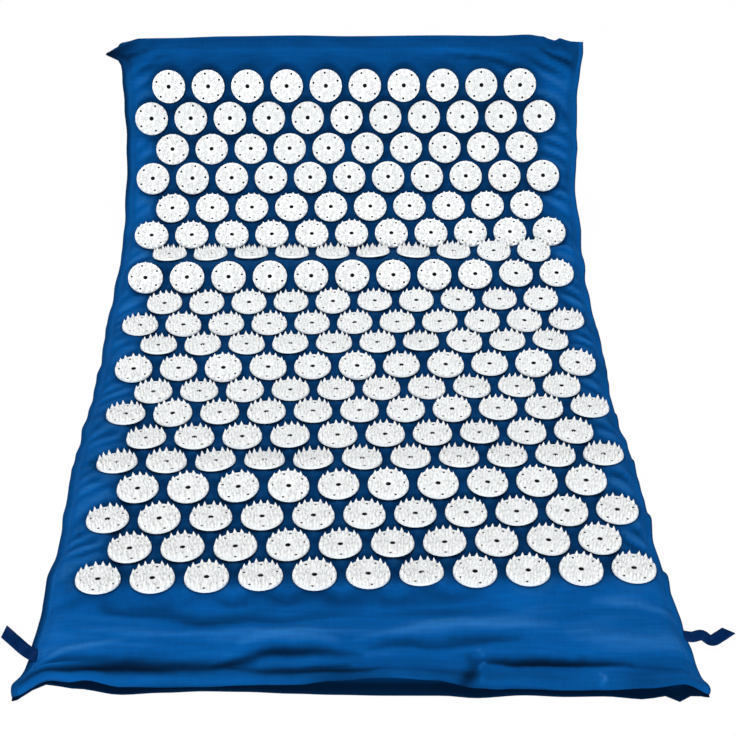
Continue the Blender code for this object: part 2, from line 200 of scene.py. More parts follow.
@dataclass
class Lie:
    """How the mat lies: the middle line of its top and underside, from the near hem to the far end."""

    rows: int = 20
    row_pitch: float = ROW_PITCH
    disc_pitch: float = DISC_PITCH
    thickness: float = 0.020
    width: float = 0.422
    side_draw_in: float = 0.0030
    seam_allowance: float = 0.0050
    hem_margin: float = 0.086
    far_margin: float = 0.039
    near_row_y: float = -0.224006
    rows_on_floor: int = 12
    climbs: tuple = (-2, 0, 4, -2, -3, -1, -3, 1, 4, -1, 4, 14, 11, 5, 26, 33, 38, 52, 68)
    tilts: tuple = (-7, -8, -6, 0, -13, -7, -6, -7, 4, -7, -1, 2, 30, -17, 20, 23, 39, 37, 56, 68)
    band: tuple = (
        (0.000, 0.0056), (0.003, 0.0078), (0.009, 0.0090), (0.016, 0.0084), (0.022, 0.0070),
        (0.029, 0.0084), (0.042, 0.0108), (0.056, 0.0124), (0.066, 0.0140), (0.073, 0.0170),
        (0.079, 0.0192),
    )
    hem_seam_share: float = 0.24
    band_seam_rise: float = 0.18
    band_seam_span: tuple = (0.03, 0.075)
    row_seam_share: float = 0.42
    curl_seam_rise: float = 0.08
    curl_rows: tuple = (10, 15)
    far_seam_share: float = 0.5
    far_steps: tuple = (0.35, 0.7, 1.0, 1.25)
    near_drift: float = -0.0072
    drift_rise: float = 0.0102
    drift_length: float = 0.66
    near_turn: float = 0.0320
    turn_span: tuple = (0.02, 0.26)
    knots: list = field(default_factory=list)

    def __post_init__(self) -> None:
        """Walks the rows and keeps the cuts that the lie passes through."""
        centres = self.row_centres()
        for arc, height in self.band:
            y = centres[0].y - self.hem_margin + arc
            share = self.hem_seam_share + self.band_seam_rise * smooth(*self.band_seam_span, arc)
            self.knots.append(Knot(arc, Vector((0, y, height)), Vector((0, y, 0)), share))
        for row, centre in enumerate(centres):
            arc = self.row_arc(row)
            share = self.row_seam_share + self.curl_seam_rise * smooth(*self.curl_rows, row)
            self.knots.append(Knot(arc, centre, self.under_row(row, centre), share))
        last = self.knots[-1]
        for share in self.far_steps:
            step = share * self.far_margin * along(self.climbs[-1])
            arc = last.arc + share * self.far_margin
            self.knots.append(Knot(arc, last.top + step, last.under + step, self.far_seam_share))

    def row_centres(self) -> list:
        """Points on the cloth under the middle of each row.

        Returns:
            One point a row, from the nearest.
        """
        centres = [Vector((0, self.near_row_y, self.thickness))]
        for climb in self.climbs:
            centres.append(centres[-1] + self.row_pitch * along(climb))
        return centres

    def row_arc(self, row: float) -> float:
        """Distance of a row from the near hem; row 0 is the nearest."""
        return self.hem_margin + row * self.row_pitch

    def under_row(self, row: int, centre: Vector) -> Vector:
        """Point on the underside below a row.

        Args:
            row: the row, 0 the nearest.
            centre: the cloth's point under the row's middle.

        Returns:
            The point, never below the floor.
        """
        if row < self.rows_on_floor:
            return Vector((0, centre.y, 0))
        near = self.climbs[max(row - 1, 0)]
        far = self.climbs[min(row, self.rows - 2)]
        under = centre - self.thickness * across((near + far) / 2)
        return Vector((0, under.y, max(under.z, 0)))

    @property
    def length(self) -> float:
        """Distance from the near hem to the far seam."""
        return self.row_arc(self.rows - 1) + self.far_margin

    def _read(self, arc: float, pick: Callable) -> Vector:
        """Smooth curve through one value of the knots, read at an arc.

        Args:
            arc: distance from the near hem.
            pick: takes the value from a knot.

        Returns:
            The value there; past the last knot it goes straight on.
        """
        knots = self.knots
        index = 0
        while index < len(knots) - 2 and knots[index + 1].arc < arc:
            index += 1
        before, after = knots[index], knots[index + 1]
        span = after.arc - before.arc
        share = (arc - before.arc) / span
        start, end = pick(before), pick(after)
        slope = (end - start) / span
        lead = slope
        if index > 0:
            earlier = knots[index - 1]
            gap = before.arc - earlier.arc
            lead = ((start - pick(earlier)) / gap * span + slope * gap) / (span + gap)
        tail = slope
        if index < len(knots) - 2:
            later = knots[index + 2]
            gap = later.arc - after.arc
            tail = ((pick(later) - end) / gap * span + slope * gap) / (span + gap)
        if share < 0 or share > 1:
            return start + slope * (arc - before.arc)
        square, cube = share * share, share**3
        value = start * (2 * cube - 3 * square + 1) + end * (3 * square - 2 * cube)
        return value + lead * (span * (cube - 2 * square + share)) + tail * (span * (cube - square))

    def top(self, arc: float) -> Vector:
        """Middle of the top cloth."""
        return self._read(arc, lambda knot: knot.top)

    def under(self, arc: float) -> Vector:
        """Middle of the underside; it never dips below the floor.

        Args:
            arc: distance from the near hem.

        Returns:
            The point.
        """
        found = self._read(arc, lambda knot: knot.under)
        found.z = max(found.z, 0)
        return found

    def seam_share(self, arc: float) -> float:
        """Height of the side seam as a share of the thickness."""
        return self._read(arc, lambda knot: Vector((knot.seam_share,) * 3)).x

    def half_width(self, arc: float) -> float:
        """Half the width of the padded body, which draws in between the corners.

        Args:
            arc: distance from the near hem.

        Returns:
            The half width, without the seam's edge.
        """
        share = min(max(arc / self.length, 0), 1)
        draw = self.side_draw_in * math.sin(math.pi * share)
        return self.width / 2 - self.seam_allowance - draw

    def lay(self, x: float, arc: float, point: Vector) -> Vector:
        """Turns the cover a little against the rows of discs, as it is sewn and laid."""
        drift, turn = self.skew(arc)
        return Vector((x + drift, point.y - x * turn, point.z))

    def skew(self, arc: float) -> tuple:
        """Sideways drift of the cover against the rows, and its turn, at a distance from the hem."""
        drift = self.near_drift + self.drift_rise * min(max(arc / self.drift_length, 0), 1)
        return drift, self.near_turn * (1 - smooth(*self.turn_span, arc))


@dataclass(frozen=True)
class Fold:
    """A long soft crease or ridge in the cloth, along a given path of (x, arc) points.

    Its near wall falls off over one reach and its far wall over another. A positive rise is a
    ridge. The tone is shade painted on the cloth deep in it, or a painted highlight where negative.
    """

    path: tuple
    near: float
    far: float
    rise: float
    tone: float = 0.0
    steps: int = 5

    def spots(self) -> list:
        """The path, eased through its points.

        Returns:
            Points of x and arc, five for each stretch of the path.
        """
        found = []
        last = len(self.path) - 1
        for index in range(last):
            first, second = self.path[index], self.path[index + 1]
            before, after = self.path[max(index - 1, 0)], self.path[min(index + 2, last)]
            for step in range(self.steps):
                share = step / self.steps
                found.append(tuple(
                    ease_through(before[i], first[i], second[i], after[i], share) for i in (0, 1)
                ))
        return found + [self.path[-1]]


@dataclass
class FoldReader:
    """Reads one fold's strength anywhere on the cloth."""

    fold: Fold
    spots: list = field(default_factory=list)
    room: float = 0.0
    widths_felt: float = 2.4
    taper_power: float = 0.75

    def __post_init__(self) -> None:
        """Eases the path once."""
        self.spots = self.fold.spots()
        self.room = self.widths_felt * max(self.fold.near, self.fold.far)

    def felt(self, x: float, arc: float) -> bool:
        """Whether a place is near the fold at all.

        Args:
            x: place across the mat.
            arc: distance from the near hem.

        Returns:
            True inside the box around the fold.
        """
        xs, arcs = zip(*self.spots)
        inside = min(xs) - self.room < x < max(xs) + self.room
        return inside and min(arcs) - self.room < arc < max(arcs) + self.room

    def read(self, x: float, arc: float) -> float:
        """Strength of the fold at a place, from 0 to 1.

        Args:
            x: place across the mat.
            arc: distance from the near hem.

        Returns:
            The strength, which fades to nothing at both ends of the path.
        """
        best, found = 1.0, 0.0
        count = len(self.spots) - 1
        for index in range(count):
            (ax, aa), (bx, ba) = self.spots[index], self.spots[index + 1]
            dx, da = bx - ax, ba - aa
            share = ((x - ax) * dx + (arc - aa) * da) / (dx * dx + da * da)
            share = min(max(share, 0), 1)
            ox, oa = x - ax - share * dx, arc - aa - share * da
            away = math.hypot(ox, oa)
            if away >= best:
                continue
            best = away
            reach = self.fold.far if oa * dx - ox * da > 0 else self.fold.near
            run = (index + share) / count
            taper = (4 * run * (1 - run)) ** self.taper_power
            found = taper * math.exp(-((away / (reach * (0.6 + 0.4 * taper))) ** 2))
        return found


BAND_FOLDS = (
    Fold(((-0.120, 0.0652), (-0.079, 0.0648), (-0.033, 0.0672), (0.013, 0.0656), (0.059, 0.0680),
          (0.086, 0.0690)), 0.0034, 0.0040, -0.0014, 0.42),
    Fold(((-0.204, 0.0610), (-0.178, 0.0621), (-0.158, 0.0577), (-0.132, 0.0569), (-0.105, 0.0508),
          (-0.079, 0.0526), (-0.046, 0.0535), (-0.020, 0.0570), (0.004, 0.0600)), 0.0038, 0.0062,
         -0.0022, 0.42),
    Fold(((-0.190, 0.0455), (-0.120, 0.0420), (-0.050, 0.0430), (0.010, 0.0440)), 0.0030, 0.0030,
         0.0012, -0.14),
    Fold(((-0.010, 0.0570), (0.050, 0.0590), (0.110, 0.0600)), 0.0034, 0.0050, -0.0010, 0.16),
    Fold(((-0.213, 0.0062), (-0.204, 0.0076), (-0.193, 0.0096), (-0.181, 0.0122), (-0.168, 0.0146),
          (-0.150, 0.0157), (-0.128, 0.0149), (-0.103, 0.0150), (-0.080, 0.0176), (-0.066, 0.0205)),
         0.0056, 0.0070, -0.0016, 1.00),
    Fold(((-0.086, 0.0150), (-0.064, 0.0114), (-0.046, 0.0110), (-0.020, 0.0104), (0.012, 0.0090)),
         0.0034, 0.0040, -0.0008, 0.55),
    Fold(((-0.096, 0.0170), (-0.080, 0.0228), (-0.062, 0.0283), (-0.046, 0.0290), (-0.033, 0.0296),
          (-0.014, 0.0286), (0.002, 0.0260)), 0.0042, 0.0036, -0.0020, 0.74),
    Fold(((-0.082, 0.0340), (-0.055, 0.0395), (-0.012, 0.0370)), 0.0034, 0.0050, 0.0014, -0.20),
    Fold(((-0.040, 0.0150), (-0.020, 0.0165), (-0.006, 0.0155)), 0.0024, 0.0040, -0.0014, 0.45),
    Fold(((-0.006, 0.0370), (0.032, 0.0450), (0.060, 0.0495), (0.096, 0.0480), (0.130, 0.0500)),
         0.0040, 0.0050, 0.0022, -0.30),
    Fold(((0.000, 0.0290), (0.025, 0.0354), (0.044, 0.0330), (0.064, 0.0360), (0.090, 0.0386),
          (0.106, 0.0386)), 0.0032, 0.0046, -0.0022, 0.42),
    Fold(((0.074, 0.0226), (0.090, 0.0212), (0.104, 0.0199), (0.127, 0.0197), (0.152, 0.0199),
          (0.176, 0.0192)), 0.0036, 0.0046, -0.0015, 1.00),
    Fold(((0.060, -0.0040), (0.066, 0.0060), (0.069, 0.0130), (0.071, 0.0200), (0.066, 0.0290)),
         0.0052, 0.0042, -0.0012, 0.50),
    Fold(((0.074, 0.0020), (0.0765, 0.0100), (0.075, 0.0160), (0.079, 0.0230), (0.074, 0.0320)),
         0.0012, 0.0014, 0.0012, -0.34),
    Fold(((0.149, 0.0010), (0.153, 0.0070), (0.150, 0.0120)), 0.0016, 0.0016, 0.0010, -0.30),
    Fold(((-0.209, 0.0150), (-0.198, 0.0225), (-0.184, 0.0310), (-0.150, 0.0380)), 0.0020, 0.0022,
         0.0014, -0.28),
    Fold(((-0.207, 0.0170), (-0.192, 0.0235), (-0.176, 0.0252), (-0.158, 0.0245)), 0.0024, 0.0026,
         -0.0010, 0.30),
    Fold(((-0.206, 0.0105), (-0.194, 0.0172), (-0.180, 0.0205)), 0.0013, 0.0013, 0.0012, -0.26),
    Fold(((0.130, 0.0420), (0.165, 0.0370), (0.205, 0.0340)), 0.0050, 0.0070, 0.0014, -0.20),
    Fold(((0.150, 0.0660), (0.180, 0.0640), (0.208, 0.0540)), 0.0030, 0.0040, 0.0014, -0.26),
    Fold(((0.168, 0.0180), (0.186, 0.0160), (0.204, 0.0130)), 0.0022, 0.0030, -0.0006, 0.26),
)
FAR_FOLDS = (
    Fold(((0.060, 0.6690), (0.115, 0.6660), (0.160, 0.6570), (0.195, 0.6340)), 0.0024, 0.0028,
         0.0007, -0.16),
    Fold(((0.085, 0.6640), (0.140, 0.6560), (0.186, 0.6290)), 0.0030, 0.0036, -0.0007, 0.14),
    Fold(((0.120, 0.6540), (0.160, 0.6430), (0.190, 0.6180)), 0.0022, 0.0026, 0.0006, -0.14),
    Fold(((0.172, 0.6720), (0.192, 0.6610), (0.206, 0.6440)), 0.0026, 0.0030, -0.0006, 0.12),
    Fold(((0.150, 0.6330), (0.176, 0.6160), (0.196, 0.5900)), 0.0020, 0.0026, 0.0007, -0.16),
    Fold(((-0.206, 0.6580), (-0.196, 0.6660), (-0.176, 0.6720)), 0.0026, 0.0026, -0.0006, 0.10),
    Fold(((-0.206, 0.6460), (-0.190, 0.6560), (-0.165, 0.6610)), 0.0022, 0.0022, 0.0006, -0.14),
)


@dataclass(frozen=True)
class DiscPlace:
    """Where one disc sits: its middle on the cloth and its own axes."""

    row: int
    x: float
    arc: float
    centre: Vector
    turned: Matrix

    @property
    def normal(self) -> Vector:
        """Direction that the disc faces."""
        return self.turned @ Vector((0, 0, 1))


@dataclass
class DiscField:
    """The staggered field of discs: 11 and 10 to a row, each turned at random and a little tilted."""

    lie: Lie
    wide_row: int = 11
    seat: float = 0.0004
    sway: float = 2.4
    right_twists: tuple = ((12, -13.0), (13, 24.0), (14, 4.0))
    slides: tuple = (
        1.9, 2.2, 2.3, 2.4, 2.4, 2.7, 2.3, 2.7, 2.0, 2.6,
        2.7, 2.3, 0.8, 1.5, 2.0, 1.7, 0.2, 0.4, 0.6, 0.5,
    )
    offsets: tuple = (
        -0.5, -0.4, -0.7, -0.3, -0.2, 0.4, 0.0, 0.5, 0.2, 0.1,
        0.2, 0.4, 0.0, 1.3, 1.1, 0.9, 0.3, -0.2, -1.1, -2.1,
    )
    seed: int = 210
    twist_span: tuple = (0.055, 0.165)
    touch_reach: float = 0.034
    places: list = field(default_factory=list)

    def __post_init__(self) -> None:
        """Works out every disc's place, row by row."""
        draw = random.Random(self.seed)
        for row in range(self.lie.rows):
            count = self.wide_row - row % 2
            tilt = self.lie.tilts[row]
            arc = self.row_arc(row)
            centre = self.lie.top(arc)
            for index in range(count):
                x = (index - (count - 1) / 2) * self.lie.disc_pitch + self.offsets[row] / 1000
                lean = math.radians(tilt + self.twist(row, x) + draw.gauss(0, self.sway))
                roll = math.radians(draw.gauss(0, self.sway))
                turned = Matrix.Rotation(lean, 3, "X") @ Matrix.Rotation(roll, 3, "Y")
                turned = turned @ Matrix.Rotation(draw.uniform(0, 2 * math.pi), 3, "Z")
                place = centre + self.seat * across(tilt) + Vector((x, 0, 0))
                self.places.append(DiscPlace(row, x, arc, place, turned))

    def twist(self, row: int, x: float) -> float:
        """Extra tilt of a disc, in degrees, where the bend fades out towards the right side."""
        return dict(self.right_twists).get(row, 0.0) * smooth(*self.twist_span, x)

    def row_arc(self, row: int) -> float:
        """Distance of a row of discs from the near hem, with its small slide."""
        return self.lie.row_arc(row) - self.slides[row] / 1000

    def row(self, row: int) -> list:
        """The discs of one row."""
        return [place for place in self.places if place.row == row]

    def near(self, arc: float) -> list:
        """The discs that can touch the cloth at a distance from the near hem."""
        return [place for place in self.places if abs(place.arc - arc) < self.touch_reach]

    def grid_place(self, x: float, arc: float) -> tuple:
        """Place counted in disc pitches across and rows along, for the cover's shading.

        Args:
            x: place across the mat.
            arc: distance from the near hem.

        Returns:
            Pitches from the middle, and rows from the nearest.
        """
        row = min(max(int((arc - self.row_arc(0)) / self.lie.row_pitch), 0), self.lie.rows - 2)
        while row > 0 and arc < self.row_arc(row):
            row -= 1
        while row < self.lie.rows - 2 and arc > self.row_arc(row + 1):
            row += 1
        start, end = self.row_arc(row), self.row_arc(row + 1)
        share = (arc - start) / (end - start)
        held = min(max(share, 0), 1)
        offset = self.offsets[row] + (self.offsets[row + 1] - self.offsets[row]) * held
        return (x - offset / 1000) / self.lie.disc_pitch, row + share


@dataclass(frozen=True)
class Cotton:
    """Plain-woven dyed cotton, paler along its worn edges, with painted shade deep in its folds, painted
    highlight on its ridges and, where set, painted shade round and between the discs.
    """

    name: str
    colour: tuple
    thread_pitch: float = 0.00055
    roughness: float = 0.9
    sheen: float = 0.10
    paint_disc_shade: bool = False
    sheen_roughness: float = 0.5
    sheen_tint: tuple = (0.02, 0.30, 0.90, 1)
    specular: float = 0.03
    relief: float = 0.16
    relief_depth: float = 0.00030
    warp_streaks: tuple = (45, 430, 1)
    weft_streaks: tuple = (430, 90, 1)
    middle_row: float = 9.5
    row_reach: float = 9.75
    column_reach: float = 5.25
    shade_before: float = 0.010
    wide_shade: tuple = (0.0155, 0.0300, 0.29)
    contact_shade: tuple = (0.0148, 0.0168, 0.34)
    darkest: float = 0.08

    def build(self) -> bpy.types.Material:
        """Makes the material; it reads the piece's own cloth map, in metres.

        Returns:
            The material.
        """
        made, nodes, link = new_material(self.name)
        shader = nodes["Principled BSDF"]
        shader.inputs["Roughness"].default_value = self.roughness
        shader.inputs["Sheen Weight"].default_value = self.sheen
        shader.inputs["Sheen Roughness"].default_value = self.sheen_roughness
        shader.inputs["Sheen Tint"].default_value = self.sheen_tint
        shader.inputs["Specular IOR Level"].default_value = self.specular
        place = nodes.new("ShaderNodeUVMap")
        place.uv_map = "cloth"
        warp = wave(nodes, link, place, "X", self.thread_pitch)
        weft = wave(nodes, link, place, "Y", self.thread_pitch)
        weave = mix(nodes, link, "MULTIPLY", 1.0, warp, weft)
        slub = mix(nodes, link, "MIX", 0.35, streaks(nodes, link, place, self.warp_streaks),
                   streaks(nodes, link, place, self.weft_streaks))
        height = mix(nodes, link, "ADD", 0.6, weave, slub)
        relief = nodes.new("ShaderNodeBump")
        relief.inputs["Strength"].default_value = self.relief
        relief.inputs["Distance"].default_value = self.relief_depth
        link(height, relief.inputs["Height"])
        link(relief.outputs["Normal"], shader.inputs["Normal"])
        link(self.tint(nodes, link, place, weave, slub), shader.inputs["Base Color"])
        return made

    def tint(self, nodes: Nodes, link: Callable, place: Node, weave: Socket, slub: Socket) -> Socket:
        """The dyed colour with its threads, slubs, drift and wear, with painted shade in its folds and
        painted highlight on its ridges.

        Args:
            nodes: the material's nodes.
            link: joins an output to an input.
            place: node that gives the coordinates.
            weave: the crossing threads.
            slub: the uneven streaks.

        Returns:
            The colour.
        """
        drift = scatter(nodes, link, place, 11, 3, "UV")
        dark = tuple(0.90 * part for part in self.colour[:3]) + (1,)
        light = tuple(1.10 * part for part in self.colour[:3]) + (1,)
        tone = ramp(nodes, link, drift, ((0.30, dark), (0.70, light)))
        grain = ramp(nodes, link, slub, ((0.34, grey(0.88)), (0.50, grey(0.99)), (0.68, grey(1.11))))
        toned = mix(nodes, link, "MULTIPLY", 1.0, tone, grain)
        threads = ramp(nodes, link, weave, ((0.0, grey(0.92)), (0.7, grey(1.03))))
        woven = mix(nodes, link, "MULTIPLY", 0.5, toned, threads)
        wear = nodes.new("ShaderNodeAttribute")
        wear.attribute_name = "wear"
        faded = (self.colour[0] * 2 + 0.002, self.colour[1] * 1.4, self.colour[2] * 1.25, 1)
        worn = mix_by(nodes, link, wear.outputs["Fac"], woven, faded)
        # painted shade deep in creases, seams and hollows and painted highlight on ridges, from a
        # per-vertex value that also carries random mottling; above 0.25 the ramp darkens, below it
        # lightens
        fold = nodes.new("ShaderNodeAttribute")
        fold.attribute_name = "painted_shade_and_tone"
        deep = ramp(nodes, link, fold.outputs["Fac"], (
            (0.0, (16.0, 1.62, 1.30, 1)), (0.25, grey(1.0)), (0.50, grey(0.58)), (0.75, grey(0.24)),
            (1.0, grey(0.07)),
        ))
        shaded = mix(nodes, link, "MULTIPLY", 1.0, worn, deep)
        # painted shade round and between the discs, only on the cloth that carries them
        if not self.paint_disc_shade:
            return shaded
        return mix(nodes, link, "MULTIPLY", 1.0, shaded, self.disc_shade(nodes, link))

    def disc_shade(self, nodes: Nodes, link: Callable) -> Socket:
        """Painted shade on the cloth round and between the discs: each of the four nearest adds its own.

        Args:
            nodes: the material's nodes.
            link: joins an output to an input.

        Returns:
            The share of light left.
        """
        place = nodes.new("ShaderNodeUVMap")
        place.uv_map = "disc_grid"
        split = nodes.new("ShaderNodeSeparateXYZ")
        link(place.outputs["UV"], split.inputs[0])
        across_grid, along_grid = split.outputs[0], split.outputs[1]
        low = sums(nodes, link, "FLOOR", along_grid)
        before = sums(nodes, link, "MAXIMUM", sums(nodes, link, "MULTIPLY", along_grid, -1), 0)
        before = sums(nodes, link, "MULTIPLY", before, self.shade_before)
        light = 1.0
        for shift in (0, 1):
            row = sums(nodes, link, "ADD", low, shift)
            half = sums(nodes, link, "MULTIPLY", sums(nodes, link, "FLOORED_MODULO", row, 2), 0.5)
            column = sums(nodes, link, "FLOOR", sums(nodes, link, "SUBTRACT", across_grid, half))
            column = sums(nodes, link, "ADD", column, half)
            beyond = sums(nodes, link, "ABSOLUTE", sums(nodes, link, "SUBTRACT", row, self.middle_row))
            beyond = sums(nodes, link, "GREATER_THAN", beyond, self.row_reach)
            away_y = sums(nodes, link, "SUBTRACT", along_grid, row)
            away_y = sums(nodes, link, "MULTIPLY", away_y, ROW_PITCH)
            for step in (0, 1):
                spot = sums(nodes, link, "ADD", column, step)
                past = sums(nodes, link, "ADD", sums(nodes, link, "ABSOLUTE", spot), half)
                past = sums(nodes, link, "GREATER_THAN", past, self.column_reach)
                past = sums(nodes, link, "ADD", past, beyond)
                away_x = sums(nodes, link, "SUBTRACT", across_grid, spot)
                away_x = sums(nodes, link, "MULTIPLY", away_x, DISC_PITCH)
                square = sums(nodes, link, "MULTIPLY", away_x, away_x)
                square = sums(nodes, link, "ADD", square, sums(nodes, link, "MULTIPLY", away_y, away_y))
                away = sums(nodes, link, "ADD", sums(nodes, link, "SQRT", square), past)
                wide = sums(nodes, link, "ADD", away, before)
                for value, shade in ((wide, self.wide_shade), (away, self.contact_shade)):
                    cast = fade(nodes, link, value, *shade)
                    light = sums(nodes, link, "SUBTRACT", light, cast)
        return sums(nodes, link, "MAXIMUM", light, self.darkest)


@dataclass(frozen=True)
class Plastic:
    """Glossy white moulded plastic."""

    name: str
    colour: tuple
    roughness: float = 0.28
    specular: float = 0.5
    inner_glow: float = 0.10
    glow_reach: tuple = (0.0012, 0.0012, 0.0014)
    relief: float = 0.10
    relief_depth: float = 0.0002

    def build(self) -> bpy.types.Material:
        """Makes the material, with faint flow marks, tone changes from disc to disc, painted shade
        between the spikes and a bluish painted highlight on the spike tips and rim.

        Returns:
            The material.
        """
        made, nodes, link = new_material(self.name)
        shader = nodes["Principled BSDF"]
        shader.inputs["Roughness"].default_value = self.roughness
        shader.inputs["Specular IOR Level"].default_value = self.specular
        shader.inputs["Subsurface Weight"].default_value = self.inner_glow
        shader.inputs["Subsurface Radius"].default_value = self.glow_reach
        place = nodes.new("ShaderNodeTexCoord")
        marks = scatter(nodes, link, place, 160, 3, "Object")
        pale = tuple(min(part * 1.03, 1) for part in self.colour[:3]) + (1,)
        dull = tuple(part * 0.95 for part in self.colour[:3]) + (1,)
        tone = ramp(nodes, link, marks, ((0.35, dull), (0.65, pale)))
        # painted shade between the spikes and a bluish painted highlight on spike tips and rim, from a
        # per-corner value
        level = nodes.new("ShaderNodeAttribute")
        level.attribute_name = "level"
        painted_spike_light = ramp(nodes, link, level.outputs["Fac"], (
            (0.0, grey(0.80)), (0.40, grey(1.01)), (0.80, grey(1.04)), (1.0, (1.05, 1.09, 1.12, 1)),
        ))
        link(mix(nodes, link, "MULTIPLY", 1.0, tone, painted_spike_light), shader.inputs["Base Color"])
        relief = nodes.new("ShaderNodeBump")
        relief.inputs["Strength"].default_value = self.relief
        relief.inputs["Distance"].default_value = self.relief_depth
        link(marks, relief.inputs["Height"])
        link(relief.outputs["Normal"], shader.inputs["Normal"])
        return made


@dataclass(frozen=True)
class Grainy:
    """A matt finish with a fine grain, used for foam cells, fastening loops, and the near-black sheet and
    plugs that paint the shadow in the disc holes.
    """

    name: str
    colour: tuple
    grain: float
    depth: float
    roughness: float = 0.95
    specular: float = 0.15
    relief: float = 0.6

    def build(self) -> bpy.types.Material:
        """Makes the material on the piece's own Object coordinates.

        Returns:
            The material.
        """
        made, nodes, link = new_material(self.name)
        shader = nodes["Principled BSDF"]
        shader.inputs["Roughness"].default_value = self.roughness
        shader.inputs["Specular IOR Level"].default_value = self.specular
        place = nodes.new("ShaderNodeTexCoord")
        cells = nodes.new("ShaderNodeTexVoronoi")
        cells.inputs["Scale"].default_value = 1 / self.grain
        link(place.outputs["Object"], cells.inputs["Vector"])
        dark = tuple(part * 0.6 for part in self.colour[:3]) + (1,)
        tone = ramp(nodes, link, cells.outputs["Distance"], ((0.0, dark), (0.5, self.colour)))
        link(tone, shader.inputs["Base Color"])
        relief = nodes.new("ShaderNodeBump")
        relief.inputs["Strength"].default_value = self.relief
        relief.inputs["Distance"].default_value = self.depth
        link(cells.outputs["Distance"], relief.inputs["Height"])
        link(relief.outputs["Normal"], shader.inputs["Normal"])
        return made


def grey(level: float) -> tuple:
    """An even colour at one level."""
    return (level, level, level, 1)


def fade(
    nodes: Nodes, link: Callable, value: Socket, start: float, end: float, strength: float
) -> Socket:
    """Falls from strength at start to nothing at end, eased.

    Args:
        nodes: the material's nodes.
        link: joins an output to an input.
        value: what it falls over.
        start: where it starts to fall.
        end: where nothing is left.
        strength: its height before it falls.

    Returns:
        The eased value.
    """
    found = nodes.new("ShaderNodeMapRange")
    found.interpolation_type = "SMOOTHSTEP"
    found.inputs["From Min"].default_value = start
    found.inputs["From Max"].default_value = end
    found.inputs["To Min"].default_value = strength
    found.inputs["To Max"].default_value = 0
    link(value, found.inputs["Value"])
    return found.outputs["Result"]


def sums(nodes: Nodes, link: Callable, way: str, first: Term, second: Optional[Term] = None) -> Socket:
    """One step of arithmetic between two sockets or numbers.

    Args:
        nodes: the material's nodes.
        link: joins an output to an input.
        way: the operation.
        first: its first term.
        second: its second term, where it has one.

    Returns:
        The result.
    """
    found = nodes.new("ShaderNodeMath")
    found.operation = way
    for slot, value in enumerate((first, second)):
        if value is None:
            continue
        if isinstance(value, (int, float)):
            found.inputs[slot].default_value = value
        else:
            link(value, found.inputs[slot])
    return found.outputs[0]


def streaks(nodes: Nodes, link: Callable, place: Node, stretch: tuple) -> Socket:
    """Thin uneven streaks along the threads.

    Args:
        nodes: the material's nodes.
        link: joins an output to an input.
        place: node that gives the coordinates.
        stretch: how dense they are along each axis.

    Returns:
        Their strength.
    """
    longer = nodes.new("ShaderNodeVectorMath")
    longer.operation = "MULTIPLY"
    longer.inputs[1].default_value = stretch
    link(place.outputs["UV"], longer.inputs[0])
    found = nodes.new("ShaderNodeTexNoise")
    found.inputs["Scale"].default_value = 1
    found.inputs["Detail"].default_value = 2
    link(longer.outputs[0], found.inputs["Vector"])
    return found.outputs["Fac"]


def new_material(name: str) -> tuple:
    """A node material.

    Args:
        name: the material's name.

    Returns:
        The material, its nodes, and its links' new method.
    """
    made = bpy.data.materials.new(name)
    made.use_nodes = True
    return made, made.node_tree.nodes, made.node_tree.links.new


def wave(nodes: Nodes, link: Callable, place: Node, axis: str, pitch: float) -> Socket:
    """Threads running one way, at a pitch in metres.

    Args:
        nodes: the material's nodes.
        link: joins an output to an input.
        place: node that gives the coordinates.
        axis: the axis that they follow each other along.
        pitch: distance from thread to thread.

    Returns:
        Their height.
    """
    found = nodes.new("ShaderNodeTexWave")
    found.bands_direction = axis
    found.wave_profile = "SIN"
    found.inputs["Scale"].default_value = math.pi / 10 / pitch
    found.inputs["Distortion"].default_value = 0.6
    found.inputs["Detail"].default_value = 1
    found.inputs["Detail Scale"].default_value = 0.4
    link(place.outputs[0], found.inputs["Vector"])
    return found.outputs["Fac"]


def scatter(
    nodes: Nodes, link: Callable, place: Node, scale: float, detail: float, socket: str = "UV"
) -> Socket:
    """Soft noise over the piece.

    Args:
        nodes: the material's nodes.
        link: joins an output to an input.
        place: node that gives the coordinates.
        scale: how dense it is.
        detail: how fine it goes.
        socket: which of the node's coordinates to read.

    Returns:
        The noise.
    """
    found = nodes.new("ShaderNodeTexNoise")
    found.inputs["Scale"].default_value = scale
    found.inputs["Detail"].default_value = detail
    link(place.outputs[socket], found.inputs["Vector"])
    return found.outputs["Fac"]


def ramp(nodes: Nodes, link: Callable, value: Socket, stops: tuple) -> Socket:
    """Colour ramp over a value, from (position, colour) stops.

    Args:
        nodes: the material's nodes.
        link: joins an output to an input.
        value: what is read.
        stops: positions and their colours.

    Returns:
        The colour.
    """
    found = nodes.new("ShaderNodeValToRGB")
    points = found.color_ramp.elements
    while len(points) < len(stops):
        points.new(0.5)
    for point, (position, colour) in zip(points, stops):
        point.position = position
        point.color = colour
    link(value, found.inputs["Fac"])
    return found.outputs["Color"]


def mix(
    nodes: Nodes, link: Callable, way: str, share: float, first: Socket, second: Socket
) -> Socket:
    """Two colours or values mixed by a fixed share.

    Args:
        nodes: the material's nodes.
        link: joins an output to an input.
        way: how they mix.
        share: how much of the second counts.
        first: the first colour.
        second: the second colour.

    Returns:
        The mixed colour.
    """
    found = nodes.new("ShaderNodeMix")
    found.data_type = "RGBA"
    found.blend_type = way
    found.inputs[0].default_value = share
    link(first, found.inputs[MIX_FIRST])
    link(second, found.inputs[MIX_SECOND])
    return found.outputs[MIX_RESULT]


